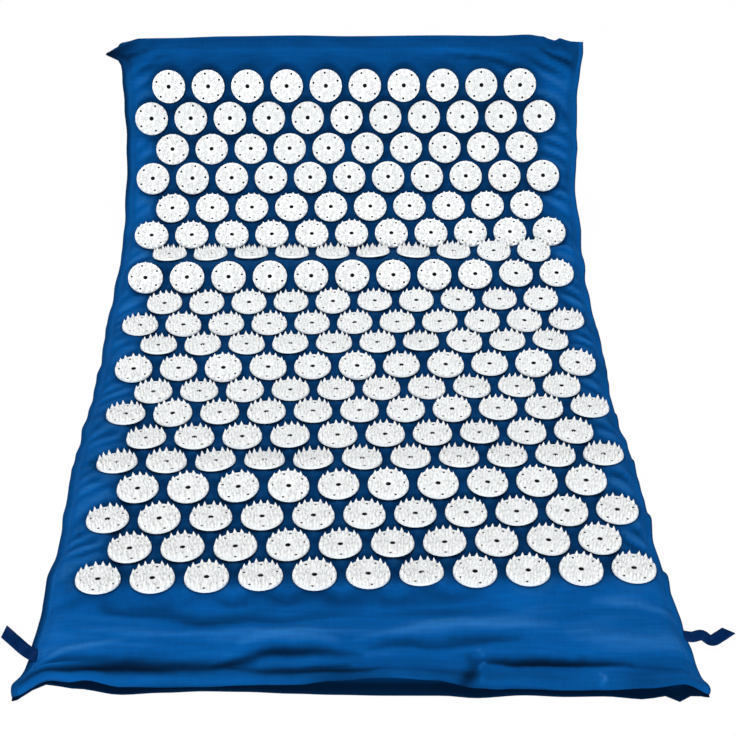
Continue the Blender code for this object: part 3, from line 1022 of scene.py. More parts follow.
def mix_by(nodes: Nodes, link: Callable, share: Socket, first: Socket, colour: tuple) -> Socket:
    """A colour that gives way to a fixed one by a varying share.

    Args:
        nodes: the material's nodes.
        link: joins an output to an input.
        share: how much of the fixed colour shows.
        first: the colour that gives way.
        colour: the fixed colour.

    Returns:
        The mixed colour.
    """
    found = nodes.new("ShaderNodeMix")
    found.data_type = "RGBA"
    link(share, found.inputs[0])
    link(first, found.inputs[MIX_FIRST])
    found.inputs[MIX_SECOND].default_value = colour
    return found.outputs[MIX_RESULT]


def finish_object(
    name: str, bm: bmesh.types.BMesh, finishes: list, smooth_faces: bool = True
) -> bpy.types.Object:
    """Turns a bmesh into an object at the origin.

    Args:
        name: the piece's name.
        bm: its shape, in the mat's frame; it is freed.
        finishes: its materials, in slot order.
        smooth_faces: whether its faces are shaded smooth.

    Returns:
        The new object.
    """
    mesh = bpy.data.meshes.new(name)
    bm.to_mesh(mesh)
    bm.free()
    if smooth_faces:
        mesh.shade_smooth()
    for finish in finishes:
        mesh.materials.append(finish)
    made = bpy.data.objects.new(name, mesh)
    bpy.context.scene.collection.objects.link(made)
    return made


def thicken(made: bpy.types.Object, thickness: float, offset: float = -1) -> None:
    """Gives a sheet the cloth's thickness, inwards from its outer face by default.

    Args:
        made: the sheet.
        thickness: how thick it gets.
        offset: -1 for inwards, 0 for both ways.
    """
    modifier = made.modifiers.new("thickness", "SOLIDIFY")
    modifier.thickness = thickness
    modifier.offset = offset


@dataclass(frozen=True)
class CoverShape:
    """How the cover's edges stray from a straight outline, as (place, distance) in metres."""

    left_out: Profile = Profile((
        (0.000, 0.0088), (0.006, 0.0092), (0.020, 0.0046), (0.035, 0.0036), (0.060, 0.0022),
        (0.115, 0.0005), (0.220, 0.0030), (0.300, 0.0005), (0.350, 0.0000), (0.400, 0.0020),
        (0.440, -0.0012), (0.470, -0.0022), (0.580, -0.0024), (0.640, 0.0000),
    ))
    right_out: Profile = Profile((
        (0.000, 0.0082), (0.012, 0.0066), (0.045, 0.0034), (0.100, -0.0004), (0.210, 0.0010),
        (0.250, -0.0018), (0.285, -0.0014), (0.345, 0.0023), (0.430, 0.0008), (0.505, 0.0034),
        (0.550, 0.0018), (0.580, 0.0052), (0.635, 0.0036), (0.676, 0.0058),
    ))
    hem_back: Profile = Profile((
        (-0.219, -0.0046), (-0.198, 0.0082), (-0.180, 0.0058), (-0.152, 0.0010), (-0.126, 0.0028),
        (-0.100, 0.0040), (-0.075, 0.0036), (-0.043, 0.0028), (-0.018, 0.0044), (0.014, 0.0058),
        (0.045, 0.0040), (0.071, -0.0006), (0.102, 0.0014), (0.128, -0.0006), (0.153, -0.0006),
        (0.178, -0.0034), (0.207, 0.0000), (0.220, -0.0022),
    ))
    lip_height: Profile = Profile((
        (-0.219, 0.0020), (-0.205, 0.0020), (-0.189, 0.0026), (-0.170, 0.0068), (-0.151, 0.0050),
        (-0.126, 0.0022), (-0.100, 0.0016), (-0.075, 0.0034), (-0.043, 0.0048), (-0.018, 0.0072),
        (0.014, 0.0086), (0.045, 0.0084), (0.071, 0.0064), (0.090, 0.0036), (0.102, 0.0028),
        (0.128, 0.0042), (0.153, 0.0046), (0.178, 0.0102), (0.200, 0.0104), (0.220, 0.0024),
    ))
    back_hem: Profile = Profile((
        (-0.219, -0.0046), (-0.200, 0.0082), (-0.180, 0.0050), (-0.152, 0.0004), (-0.126, 0.0020),
        (-0.100, 0.0032), (-0.075, 0.0028), (-0.043, 0.0014), (-0.018, 0.0006), (0.014, 0.0000),
        (0.050, 0.0000), (0.071, -0.0018), (0.102, 0.0004), (0.128, -0.0008), (0.153, -0.0004),
        (0.178, -0.0026), (0.191, 0.0000), (0.196, -0.0062), (0.203, -0.0030), (0.208, 0.0000),
        (0.220, -0.0010),
    ))
    # painted shade along the hem, by place across; painted highlight where negative
    hem_painted_shade: Profile = Profile((
        (-0.200, -0.05), (-0.170, 0.10), (-0.100, 0.12), (-0.075, 0.14), (-0.045, 0.28), (-0.018, 0.48),
        (0.012, 0.34), (0.026, 0.20), (0.048, 0.22), (0.066, 0.34), (0.085, 0.26), (0.110, 0.24),
        (0.150, 0.14), (0.178, 0.30), (0.205, 0.10),
    ))
    far_drop: Profile = Profile((
        (-0.216, 0.0086), (-0.205, 0.0050), (-0.193, 0.0018), (-0.168, 0.0016), (-0.113, 0.0002),
        (-0.049, -0.0004), (0.000, 0.0005), (0.080, 0.0000), (0.135, 0.0006), (0.165, -0.0004),
        (0.178, 0.0012), (0.189, 0.0056), (0.194, 0.0030), (0.204, 0.0060), (0.220, 0.0068),
    ))
    hem_span: float = 0.022
    roll_height: float = 0.0084
    roll_reach: float = 0.0070
    roll_blend: tuple = (0.007, 0.016)
    roll_unevenness: float = 0.0008
    gape_from: float = 0.0030
    gape_share: float = 0.4
    lip_turn: float = 0.0016
    lip_reach: float = 0.004
    ear_back: float = 0.0064
    ear_reach: float = 0.0068
    ear_pull: float = 0.0150
    ear_drop: float = 0.0040


@dataclass
class CoverPanel:
    """One of the cover's two cotton panels, sewn to the other along the sides and the far end."""

    lie: Lie
    discs: DiscField
    lip: Lip
    shape: CoverShape = CoverShape()
    cloth: float = 0.0008
    part: float = 0.0003
    step_across: float = 0.0025
    step_along: float = 0.0027
    fine_step: float = 0.0015
    fine_until: float = 0.080
    folds: tuple = ()
    sewn_to: Optional["CoverPanel"] = None
    floor_gap: float = 0.0004
    strip_top: float = 0.0058
    strip_half: float = 0.176
    strip_span: tuple = (0.009, 0.040)
    margin_span: tuple = (0.160, 0.186)
    pull_pitch: float = 0.0150
    pull_slant: float = 0.60
    pull_height: float = 0.0015
    left_calm: tuple = (0.42, 0.50)
    right_calm: tuple = (0.80, 0.45)
    free_reach: float = 0.0225
    grip_reach: float = 0.0158
    under_disc: float = 0.00020
    beside_disc: float = 0.0009
    rim_span: tuple = (0.0135, 0.0165)
    seam_hold: tuple = (0.045, 0.070)
    seam_lines: int = 4
    hollow_depth: float = 0.0026
    hollow_painted_limits: tuple = (-0.14, 0.22)
    ease_rounds: int = 4
    readers: list = field(default_factory=list)
    sections: list = field(default_factory=list)
    arcs: list = field(default_factory=list)
    rows: list = field(default_factory=list)

    def __post_init__(self) -> None:
        """Lays out the lines of the panel's mesh."""
        self.readers = [FoldReader(fold) for fold in self.folds]
        half = self.lie.width / 2 - self.lie.seam_allowance
        count = round(half / self.step_across)
        edge = [(1.0, 0.35), (1.0, 0.75), (1.0, 1.0)]
        left = [(-share, run) for share, run in reversed(edge)]
        self.sections = left + [(i / count, 0.0) for i in range(-count, count + 1)] + edge
        self.arcs = [0.0, 0.0007, 0.0016, 0.0027, 0.0040]
        while self.arcs[-1] < self.lie.length - self.step_along:
            fine = self.arcs[-1] < self.fine_until
            self.arcs.append(self.arcs[-1] + (self.fine_step if fine else self.step_along))
        past = self.lie.seam_allowance
        self.arcs += [self.lie.length, self.lie.length + 0.5 * past, self.lie.length + past]

    @property
    def rest_height(self) -> float:
        """Least height of the top panel over the floor, with the back panel between them."""
        return self.cloth + self.part + self.floor_gap

    def side_drop(self, share: float) -> float:
        """How far the top has come down to the seam, near the side.

        Args:
            share: place across, from -1 at the left to 1 at the right.

        Returns:
            0 in the middle, 1 at the seam.
        """
        start = 0.925 if self.lip is Lip.TOP else 0.93
        reach = min(max((abs(share) - start) / (1 - start), 0), 1)
        return 1 - math.sqrt(max(1 - reach**2.1, 0))

    def end_drop(self, arc: float) -> float:
        """The same towards the far seam."""
        reach = min(max((arc - self.lie.length + 0.020) / 0.020, 0), 1)
        return 1 - math.sqrt(max(1 - reach**2.2, 0))

    def edge_wave(self, side: float, arc: float) -> tuple:
        """Waves of the seam edge: outwards, and up.

        Args:
            side: -1 for the left, 1 for the right.
            arc: distance from the near hem.

        Returns:
            The two distances.
        """
        out = 0.0016 * noise.noise(Vector((side * 7.3, arc / 0.017, 0.2)))
        rise = 0.0022 * noise.noise(Vector((side * 5.7, arc / 0.024, 9.1)))
        return out, rise

    def nose(self, x: float, arc: float, point: Vector) -> None:
        """Rounds the near hem over, from its lip up to the roll, and lifts it where it gapes.

        Args:
            x: place across the mat.
            arc: distance from the near hem.
            point: the point to move.
        """
        if self.lip is Lip.BACK:
            point.y += self.shape.back_hem.at(x) * smooth(self.shape.hem_span, 0.0, arc)
            return
        point.y += self.shape.hem_back.at(x) * smooth(self.shape.hem_span, 0.0, arc)
        foot = self.shape.lip_height.at(x)
        roll = self.shape.roll_height + self.shape.gape_share * max(foot - self.shape.gape_from, 0)
        roll = roll + self.shape.roll_unevenness * noise.noise(Vector((x / 0.03, 2, 3)))
        rise = 1 - (1 - min(arc / self.shape.roll_reach, 1)) ** 2
        body = foot + (roll - foot) * math.sqrt(max(rise, 0))
        point.y += self.shape.lip_turn * (1 - min(arc / self.shape.lip_reach, 1)) ** 2
        point.z = body + (point.z - body) * smooth(*self.shape.roll_blend, arc)

    def ear(self, share: float, arc: float) -> float:
        """Where the far left corner is folded to a small pointed ear, from 0 to 1.

        Args:
            share: place across, from -1 at the left to 1 at the right.
            arc: distance from the near hem.

        Returns:
            How much the ear counts there.
        """
        if share > 0:
            return 0.0
        tip = self.lie.length - self.shape.ear_back
        return smooth(0.93, 1.0, -share) * bump(tip, self.shape.ear_reach, arc)

    def far_corner(self, x: float, share: float, arc: float, point: Vector) -> Vector:
        """Draws the far seam's line, and pulls the left corner out to its folded ear.

        Args:
            x: place across the mat.
            share: place across, from -1 at the left to 1 at the right.
            arc: distance from the near hem.
            point: the point to move.

        Returns:
            The moved point.
        """
        ahead = along(self.lie.climbs[-1])
        reach = smooth(self.lie.length - 0.020, self.lie.length + 0.002, arc)
        ear = self.ear(share, arc)
        moved = point - ahead * (self.shape.far_drop.at(x) * reach)
        moved.x -= self.shape.ear_pull * ear
        return moved - across(self.lie.climbs[-1]) * (self.shape.ear_drop * ear)

    def place(self, share: float, run: float, arc: float) -> Vector:
        """A point of the panel before wrinkles and discs.

        Args:
            share: place across, from -1 at the left to 1 at the right.
            run: how far out over the seam's edge, from 0 to 1.
            arc: distance from the near hem.

        Returns:
            The point.
        """
        top, under = self.lie.top(arc), self.lie.under(arc)
        axis = (top - under).normalized()
        seam = under.lerp(top, self.lie.seam_share(arc))
        seam = seam + self.lip.value * (self.part / 2 + self.cloth) * axis
        start = top if self.lip is Lip.TOP else under
        drop = 1 - (1 - self.side_drop(share)) * (1 - self.end_drop(arc))
        point = start.lerp(seam, drop)
        side = math.copysign(1, share)
        out, rise = self.edge_wave(side, arc)
        rim = smooth(0.90, 1.0, abs(share))
        outline = self.shape.left_out if side < 0 else self.shape.right_out
        out = out * rim + outline.at(arc) * smooth(0.84, 1.0, abs(share))
        x = share * self.lie.half_width(arc) + side * (self.lie.seam_allowance * run + out)
        point = point + axis * (rise * rim * smooth(0.0, 0.03, arc) - 0.0016 * run)
        centre_z = point.z
        self.nose(x, arc, point)
        point.z = centre_z + (point.z - centre_z) * (1 - 0.55 * rim * smooth(0.0, 0.012, arc))
        point = self.far_corner(x, share, arc, Vector((x, point.y, point.z)))
        point = self.lie.lay(point.x, arc, point)
        floor = 0.0 if self.lip is Lip.BACK else self.rest_height
        point.z = max(point.z, floor)
        return point

    def margin(self, x: float, arc: float) -> float:
        """Slanting pull wrinkles along the free margins beside the discs, from -1 to 1.

        Args:
            x: place across the mat.
            arc: distance from the near hem.

        Returns:
            Their height as a share.
        """
        side, wide = math.copysign(1, x), abs(x)
        half = self.lie.half_width(arc)
        mask = smooth(*self.margin_span, wide) * smooth(half + 0.001, half - 0.006, wide)
        mask *= smooth(0.070, 0.090, arc)
        if mask == 0:
            return 0.0
        sway = noise.noise(Vector((arc / 0.045, side * 3.0, 0.5)))
        phase = (arc + self.pull_slant * (wide - 0.19)) / self.pull_pitch + 0.9 * sway
        swell = 0.75 + 1.1 * noise.noise(Vector((arc / 0.026, side * 9.0, 3.1)))
        calm, far_calm = self.left_calm if side < 0 else self.right_calm
        swell *= calm * (1 - far_calm * smooth(0.40, 0.52, arc))
        ridge = math.sin(2 * math.pi * phase) * (1 + 0.35 * math.cos(2 * math.pi * phase))
        return mask * max(swell, 0.05) * ridge

    def wrinkle(self, x: float, arc: float) -> tuple:
        """Height of the cloth's wrinkles at a place, out from the panel, and their tone: painted shade
        and painted highlight, with random mottling.

        Args:
            x: place across the mat.
            arc: distance from the near hem.

        Returns:
            The height, and the tone.
        """
        lift = 0.00030 * noise.noise(Vector((x / 0.012, arc / 0.015, 1.7)))
        lift += 0.00055 * noise.noise(Vector((x / 0.040, arc / 0.026, 5.1)))
        pull = self.margin(x, arc)
        lift += self.pull_height * pull
        far = smooth(self.lie.length - 0.036, self.lie.length - 0.018, arc)
        lift += 0.0007 * far * noise.noise(Vector((x / 0.026, arc / 0.060, 7.7)))
        # painted highlight on the pull ridges, painted shade in their troughs
        tone = -0.20 * pull
        sway = 0.0012 * noise.noise(Vector((x / 0.018, arc / 0.018, 11.3)))
        sway += 0.0005 * noise.noise(Vector((x / 0.006, arc / 0.006, 13.3)))
        # each fold's painted shade, and painted highlight where its tone is negative
        for reader in self.readers:
            if reader.felt(x, arc):
                strength = reader.read(x + sway, arc + sway)
                lift += reader.fold.rise * strength
                tone += reader.fold.tone * strength
        band = smooth(0.080, 0.060, arc)
        streak = noise.noise(Vector((x / 0.050, arc / 0.0045, 4.4)))
        tone += 0.12 * band * streak + 0.10 * noise.noise(Vector((x / 0.034, arc / 0.012, 8.8)))
        # painted shade along the hem
        tone += self.shape.hem_painted_shade.at(x) * smooth(0.018, 0.009, arc)
        # painted shade near both side edges
        tone += 0.10 * smooth(0.184, 0.200, abs(x)) * smooth(0.090, 0.120, arc)
        # painted shade over the curled far end
        return lift, tone + 0.30 * far

    def seat(self, point: Vector, near: list, x: float, arc: float) -> Vector:
        """Pulls the cloth flat under the discs nearby, and lets it go around them.

        Args:
            point: the point to move.
            near: the discs that can touch it.
            x: its place across, among the discs.
            arc: its distance along, among the discs.

        Returns:
            The moved point.
        """
        total, pulled = 0.0, Vector((0, 0, 0))
        for disc in near:
            away = math.hypot(x - disc.x, arc - disc.arc)
            if away > self.free_reach:
                continue
            weight = smooth(self.free_reach, self.grip_reach, away)
            normal = disc.normal
            gap = self.under_disc + self.beside_disc * smooth(*self.rim_span, away)
            pulled += (point - normal * ((point - disc.centre).dot(normal) + gap)) * weight
            total += weight
        if total == 0:
            return point
        return (point * max(1 - total, 0) + pulled) / max(total, 1)

    def seam_painted_shade(self, share: float, run: float, arc: float) -> float:
        """Painted shade of the seams, of the folded far left ear and of the hidden lip.

        Args:
            share: place across, from -1 at the left to 1 at the right.
            run: how far out over the seam's edge, from 0 to 1.
            arc: distance from the near hem.

        Returns:
            The tone, 0 for none.
        """
        if self.lip is Lip.BACK:
            return 0.85 * smooth(0.016, 0.006, arc) + 0.35 * smooth(0.0, 1.0, run)
        near = smooth(0.12, 0.08, arc) * smooth(0.012, 0.022, arc)
        if share < 0:
            far = smooth(0.50, 0.56, arc)
            return run**0.5 * (0.46 + 0.26 * near + 0.30 * far) + 0.62 * self.ear(share, arc)
        return 0.45 * smooth(0.8, 1.0, run) + 0.20 * run

    def build(self, name: str, finish: bpy.types.Material) -> bpy.types.Object:
        """Makes the panel.

        Args:
            name: the piece's name.
            finish: its cotton.

        Returns:
            The panel, in place, with its cloth maps, wear and tone.
        """
        bm = bmesh.new()
        cloth_map = bm.loops.layers.uv.new("cloth")
        grid_map = bm.loops.layers.uv.new("disc_grid")
        wear = bm.verts.layers.float.new("wear")
        painted_shade_and_tone = bm.verts.layers.float.new("painted_shade_and_tone")
        bmesh.ops.create_grid(
            bm, x_segments=len(self.sections) - 1, y_segments=len(self.arcs) - 1,
            size=self.lie.width,
        )
        verts = list(bm.verts)
        tones = []
        for index, vertex in enumerate(verts):
            arc = self.arcs[index // len(self.sections)]
            share, run = self.sections[index % len(self.sections)]
            vertex.co = self.place(share, run, arc)
            x = share * self.lie.half_width(arc)
            edge = max(smooth(0.965, 1.0, abs(share)), bump(0.006, 0.004, arc))
            rub = 0.5 + 0.5 * noise.noise(Vector((x / 0.009, arc / 0.009, 2.2)))
            vertex[wear] = 0.5 * edge * rub
            tones.append(self.seam_painted_shade(share, run, arc))
        bm.normal_update()
        if self.lip is Lip.TOP:
            tones = self.dress(verts, tones)
        if self.sewn_to:
            self.close_seam(verts)
        flat = [self.flat_place(index) for index in range(len(verts))]
        for vertex, tone in zip(verts, tones):
            # painted shade and highlight with random tone, clamped and shifted so that 0.25 means none
            vertex[painted_shade_and_tone] = 0.25 + 0.75 * min(max(tone, -0.33), 1.0)
        for face in bm.faces:
            for loop in face.loops:
                loop[cloth_map].uv, loop[grid_map].uv = flat[loop.vert.index]
        self.rows = [
            [verts[line * len(self.sections) + column].co.copy() for column in range(len(self.sections))]
            for line in range(len(self.arcs))
        ]
        if self.lip is Lip.BACK:
            bmesh.ops.reverse_faces(bm, faces=bm.faces)
        made = finish_object(name, bm, [finish])
        thicken(made, self.cloth)
        return made

    def flat_place(self, index: int) -> tuple:
        """Where a vertex lies on the flat cloth in metres, and on the grid of discs.

        Args:
            index: the vertex's number.

        Returns:
            The two places.
        """
        arc = self.arcs[index // len(self.sections)]
        share, run = self.sections[index % len(self.sections)]
        x = share * self.lie.half_width(arc)
        drift, turn = self.lie.skew(arc)
        wide = x + math.copysign(self.lie.seam_allowance * run, share)
        return (wide, arc), self.discs.grid_place(x + drift, arc - x * turn)

    def dress(self, verts: list, tones: list) -> list:
        """Adds the wrinkles, seats the cloth under the discs, and paints shade into the hollows and
        highlight onto the ridges.

        Args:
            verts: the panel's vertices, line by line.
            tones: the tone at each.

        Returns:
            The tones with those of the wrinkles.
        """
        normals = [vertex.normal.copy() for vertex in verts]
        width = len(self.sections)
        dressed = list(tones)
        for line, arc in enumerate(self.arcs):
            near = self.discs.near(arc)
            drift, turn = self.lie.skew(arc)
            for column, (share, run) in enumerate(self.sections):
                index = line * width + column
                x = share * self.lie.half_width(arc)
                vertex = verts[index]
                lift, tone = self.wrinkle(x, arc)
                if run == 0:
                    vertex.co += normals[index] * lift
                    dressed[index] += tone
                vertex.co = self.seat(vertex.co, near, x + drift, arc - x * turn)
                over_strips = abs(x) < self.strip_half and self.strip_span[0] < arc < self.strip_span[1]
                strips = self.strip_top if over_strips else 0.0
                vertex.co.z = max(vertex.co.z, strips, self.rest_height)
        for _ in range(self.ease_rounds):
            self.ease(verts)
        return [
            dressed[index] + self.hollow(verts, index, normals[index]) for index in range(len(verts))
        ]

    def close_seam(self, verts: list) -> None:
        """Brings this panel's side edges up to the other panel's, where the two are sewn together.

        Args:
            verts: the panel's vertices, line by line.
        """
        width = len(self.sections)
        for line, arc in enumerate(self.arcs):
            hold = smooth(*self.seam_hold, arc)
            axis = (self.lie.top(arc) - self.lie.under(arc)).normalized()
            for first, way in ((line * width, 1), ((line + 1) * width - 1, -1)):
                for step in range(self.seam_lines):
                    vertex = verts[first + way * step]
                    column = step if way > 0 else -1 - step
                    sewn = self.sewn_to.edge_point(column, arc) - axis * (2 * self.cloth + self.part)
                    rise = max(sewn.z - vertex.co.z, 0) * hold
                    vertex.co = vertex.co.lerp(sewn, hold)
                    vertex.co.z = max(vertex.co.z, 0)
                verts[first + way * self.seam_lines].co.z += 0.45 * rise

    def edge_point(self, column: int, arc: float) -> Vector:
        """A point on one of the panel's outermost lines."""
        line, rise = self.line_at(arc)
        return self.rows[line][column].lerp(self.rows[line + 1][column], rise)

    def line_at(self, arc: float) -> tuple:
        """The mesh line before a distance from the hem, and how far on to the next it lies.

        Args:
            arc: distance from the near hem.

        Returns:
            The line's number, and the share.
        """
        line = 0
        while line < len(self.arcs) - 2 and self.arcs[line + 1] < arc:
            line += 1
        span = self.arcs[line + 1] - self.arcs[line]
        return line, min(max((arc - self.arcs[line]) / span, 0), 1)

    def ease(self, verts: list) -> None:
        """Evens out the cloth a little where it comes down in front of the first row of discs.

        Args:
            verts: the panel's vertices, line by line.
        """
        width = len(self.sections)
        moved = {}
        for line, arc in enumerate(self.arcs):
            share = 0.7 * smooth(0.044, 0.054, arc) * smooth(0.0760, 0.0710, arc)
            if share == 0:
                continue
            for index in range(line * width + 4, (line + 1) * width - 4):
                around = verts[index - 1].co + verts[index + 1].co
                around += verts[index - width].co + verts[index + width].co
                moved[index] = verts[index].co.lerp(around / 4, share)
        for index, spot in moved.items():
            verts[index].co = spot

    def hollow(self, verts: list, index: int, normal: Vector) -> float:
        """Painted shade in a hollow, and painted highlight on a ridge, from how the cloth curves a few
        millimetres around.

        Args:
            verts: the panel's vertices, line by line.
            index: the vertex's number.
            normal: the way the cloth faced before.

        Returns:
            The tone, below 0 on a ridge.
        """
        width = len(self.sections)
        line, column = divmod(index, width)
        if not (2 <= line < len(self.arcs) - 5 and 6 <= column < width - 6):
            return 0.0
        around = verts[index - 2].co + verts[index + 2].co
        around += verts[index - 2 * width].co + verts[index + 2 * width].co
        depth = (around / 4 - verts[index].co).dot(normal)
        shade = min(max(depth / self.hollow_depth, self.hollow_painted_limits[0]), self.hollow_painted_limits[1])
        return shade * (0.25 + 0.75 * smooth(0.078, 0.088, self.arcs[line]))

    def at(self, share: float, arc: float) -> Vector:
        """A point of the finished panel's outer face, at a share of the half width.

        Args:
            share: place across, from -1 at the left to 1 at the right.
            arc: distance from the near hem.

        Returns:
            The point.
        """
        line, rise = self.line_at(arc)
        inner = len(self.sections) - 7
        spot = (share + 1) / 2 * inner + 3
        column = min(int(spot), len(self.sections) - 2)
        slide = spot - column
        near = self.rows[line][column].lerp(self.rows[line][column + 1], slide)
        far = self.rows[line + 1][column].lerp(self.rows[line + 1][column + 1], slide)
        return near.lerp(far, rise)


@dataclass
class SpikedDisc:
    """A round plate with a hole in its middle, five small holes and rings of sharp spikes."""

    radius: float = 0.0150
    plate: float = 0.0015
    sides: int = 5
    rim_steps: int = 28
    hole: float = 0.0020
    pin_hole: float = 0.00110
    pin_reach: float = 0.0118
    shadow_plug: float = 0.00105
    crowd: float = 0.05
    pins: int = 5
    hole_steps: int = 10
    pin_steps: int = 6
    # near-black sheet under the plate and plugs in the holes: painted shadow deep in the holes
    hole_shadow_steps: int = 16
    hole_shadow_radius: float = 0.0136
    hole_shadow: float = 0.0001
    hole_shadow_sink: float = 0.00006
    spike_sink: float = 0.0001
    rim_draw: float = 0.985
    rings: tuple = (
        (15, 0.0130, 0.00200, 0.0050), (10, 0.0093, 0.00175, 0.0046), (12, 0.0068, 0.00160, 0.0044),
        (5, 0.0047, 0.00135, 0.0030),
    )

    def plate_outline(self, bm: bmesh.types.BMesh) -> list:
        """Edges of the plate's rim and of its holes, flat.

        Args:
            bm: the shape that it goes into.

        Returns:
            All the edges.
        """
        middle = Vector((0, 0, 0))
        circles = [(middle, self.radius, self.rim_steps), (middle, self.hole, self.hole_steps)]
        for index in range(self.pins):
            circles.append((self.pin_spot(index), self.pin_hole, self.pin_steps))
        edges = []
        for centre, radius, steps in circles:
            made = bmesh.ops.create_circle(
                bm, segments=steps, radius=radius, matrix=Matrix.Translation(centre)
            )
            edges += list({edge for vertex in made["verts"] for edge in vertex.link_edges})
        return edges

    def pin_spot(self, index: int) -> Vector:
        """Where one of the five small holes is."""
        angle = 2 * math.pi * index / self.pins
        return Vector((math.cos(angle), math.sin(angle), 0)) * self.pin_reach

    def spikes(self, bm: bmesh.types.BMesh, count: int, reach: float, base: float, height: float) -> None:
        """One ring of spikes.

        Args:
            bm: the shape that it goes into.
            count: how many spikes.
            reach: the ring's radius.
            base: a spike's radius at its foot.
            height: a spike's height.
        """
        for index in range(count):
            angle = 2 * math.pi * (index + 0.5) / count
            angle += self.crowd * math.sin(self.pins * angle)
            spot = Vector((math.cos(angle), math.sin(angle), 0)) * reach
            spot.z = self.plate + height / 2 - self.spike_sink
            spike = bmesh.ops.create_cone(
                bm, cap_ends=False, segments=self.sides, radius1=base, radius2=0,
                depth=height, matrix=Matrix.Translation(spot) @ Matrix.Rotation(angle, 4, "Z"),
            )
            for face in {face for vertex in spike["verts"] for face in vertex.link_faces}:
                face.smooth = True

    def paint_hole_shadow(self, bm: bmesh.types.BMesh, spot: Vector, radius: float, height: float, steps: int) -> None:
        """Near-black sheet under the plate, or plug filling one of its holes: painted shadow deep in the
        holes.

        Args:
            bm: the shape that it goes into.
            spot: its middle.
            radius: its radius.
            height: its height.
            steps: its sides.
        """
        hole_shadow = bmesh.ops.create_cone(
            bm, cap_ends=True, segments=steps, radius1=radius, radius2=radius, depth=height,
            matrix=Matrix.Translation(spot + Vector((0, 0, height / 2 - self.hole_shadow_sink))),
        )
        for face in {face for vertex in hole_shadow["verts"] for face in vertex.link_faces}:
            face.material_index = 1

    def openness(self, face: bmesh.types.BMFace, spot: Vector) -> float:
        """How much painted light a place of the disc gets: painted shade low between the spikes, painted
        highlight at 1 on tips and rim.

        Args:
            face: the face it is on.
            spot: the place.

        Returns:
            The share of open light.
        """
        tallest = max(vertex.co.z for vertex in face.verts)
        if tallest <= self.plate + 0.0001:
            return 1.0 if spot.xy.length > 0.9 * self.radius else 0.36
        return min(max((spot.z - self.plate) / (tallest - self.plate), 0), 1)

    def pattern(self) -> bpy.types.Mesh:
        """Makes the disc once, on the plane z = 0, for every place to copy.

        Returns:
            The disc's mesh.
        """
        bm = bmesh.new()
        level = bm.loops.layers.float.new("level")
        edges = self.plate_outline(bm)
        bmesh.ops.triangle_fill(bm, use_beauty=True, edges=edges, normal=(0, 0, 1))
        raised = bmesh.ops.extrude_face_region(bm, geom=list(bm.faces), use_keep_orig=True)["geom"]
        top = [item for item in raised if isinstance(item, bmesh.types.BMVert)]
        bmesh.ops.translate(bm, verts=top, vec=(0, 0, self.plate))
        bmesh.ops.recalc_face_normals(bm, faces=bm.faces)
        for vertex in top:
            if vertex.co.xy.length > 0.98 * self.radius:
                vertex.co.x *= self.rim_draw
                vertex.co.y *= self.rim_draw
        for ring in self.rings:
            self.spikes(bm, *ring)
        # painted shadow: near-black sheet under the plate and plugs up the holes
        self.paint_hole_shadow(bm, Vector((0, 0, 0)), self.hole_shadow_radius, self.hole_shadow, self.hole_shadow_steps)
        self.paint_hole_shadow(bm, Vector((0, 0, 0)), self.hole, self.shadow_plug, self.hole_steps)
        for index in range(self.pins):
            self.paint_hole_shadow(bm, self.pin_spot(index), self.pin_hole, self.shadow_plug, self.pin_steps)
        # per-corner value for the plastic's painted shade and painted highlight
        for face in bm.faces:
            for loop in face.loops:
                loop[level] = self.openness(face, loop.vert.co)
        mesh = bpy.data.meshes.new("spiked_disc")
        bm.to_mesh(mesh)
        bm.free()
        return mesh


@dataclass
class DiscRow:
    """One row of separate discs bonded to the cloth."""

    row: int
    places: list
    pattern: bpy.types.Mesh

    def build(self, finishes: list) -> bpy.types.Object:
        """Copies the disc to each place in the row.

        Args:
            finishes: the plastic, and the near-black painted hole shadow.

        Returns:
            The row.
        """
        bm = bmesh.new()
        for place in self.places:
            copy = self.pattern.copy()
            copy.transform(Matrix.Translation(place.centre) @ place.turned.to_4x4())
            bm.from_mesh(copy)
            bpy.data.meshes.remove(copy)
        name = f"spiked_discs_{self.row + 1:02d}"
        return finish_object(name, bm, finishes, smooth_faces=False)


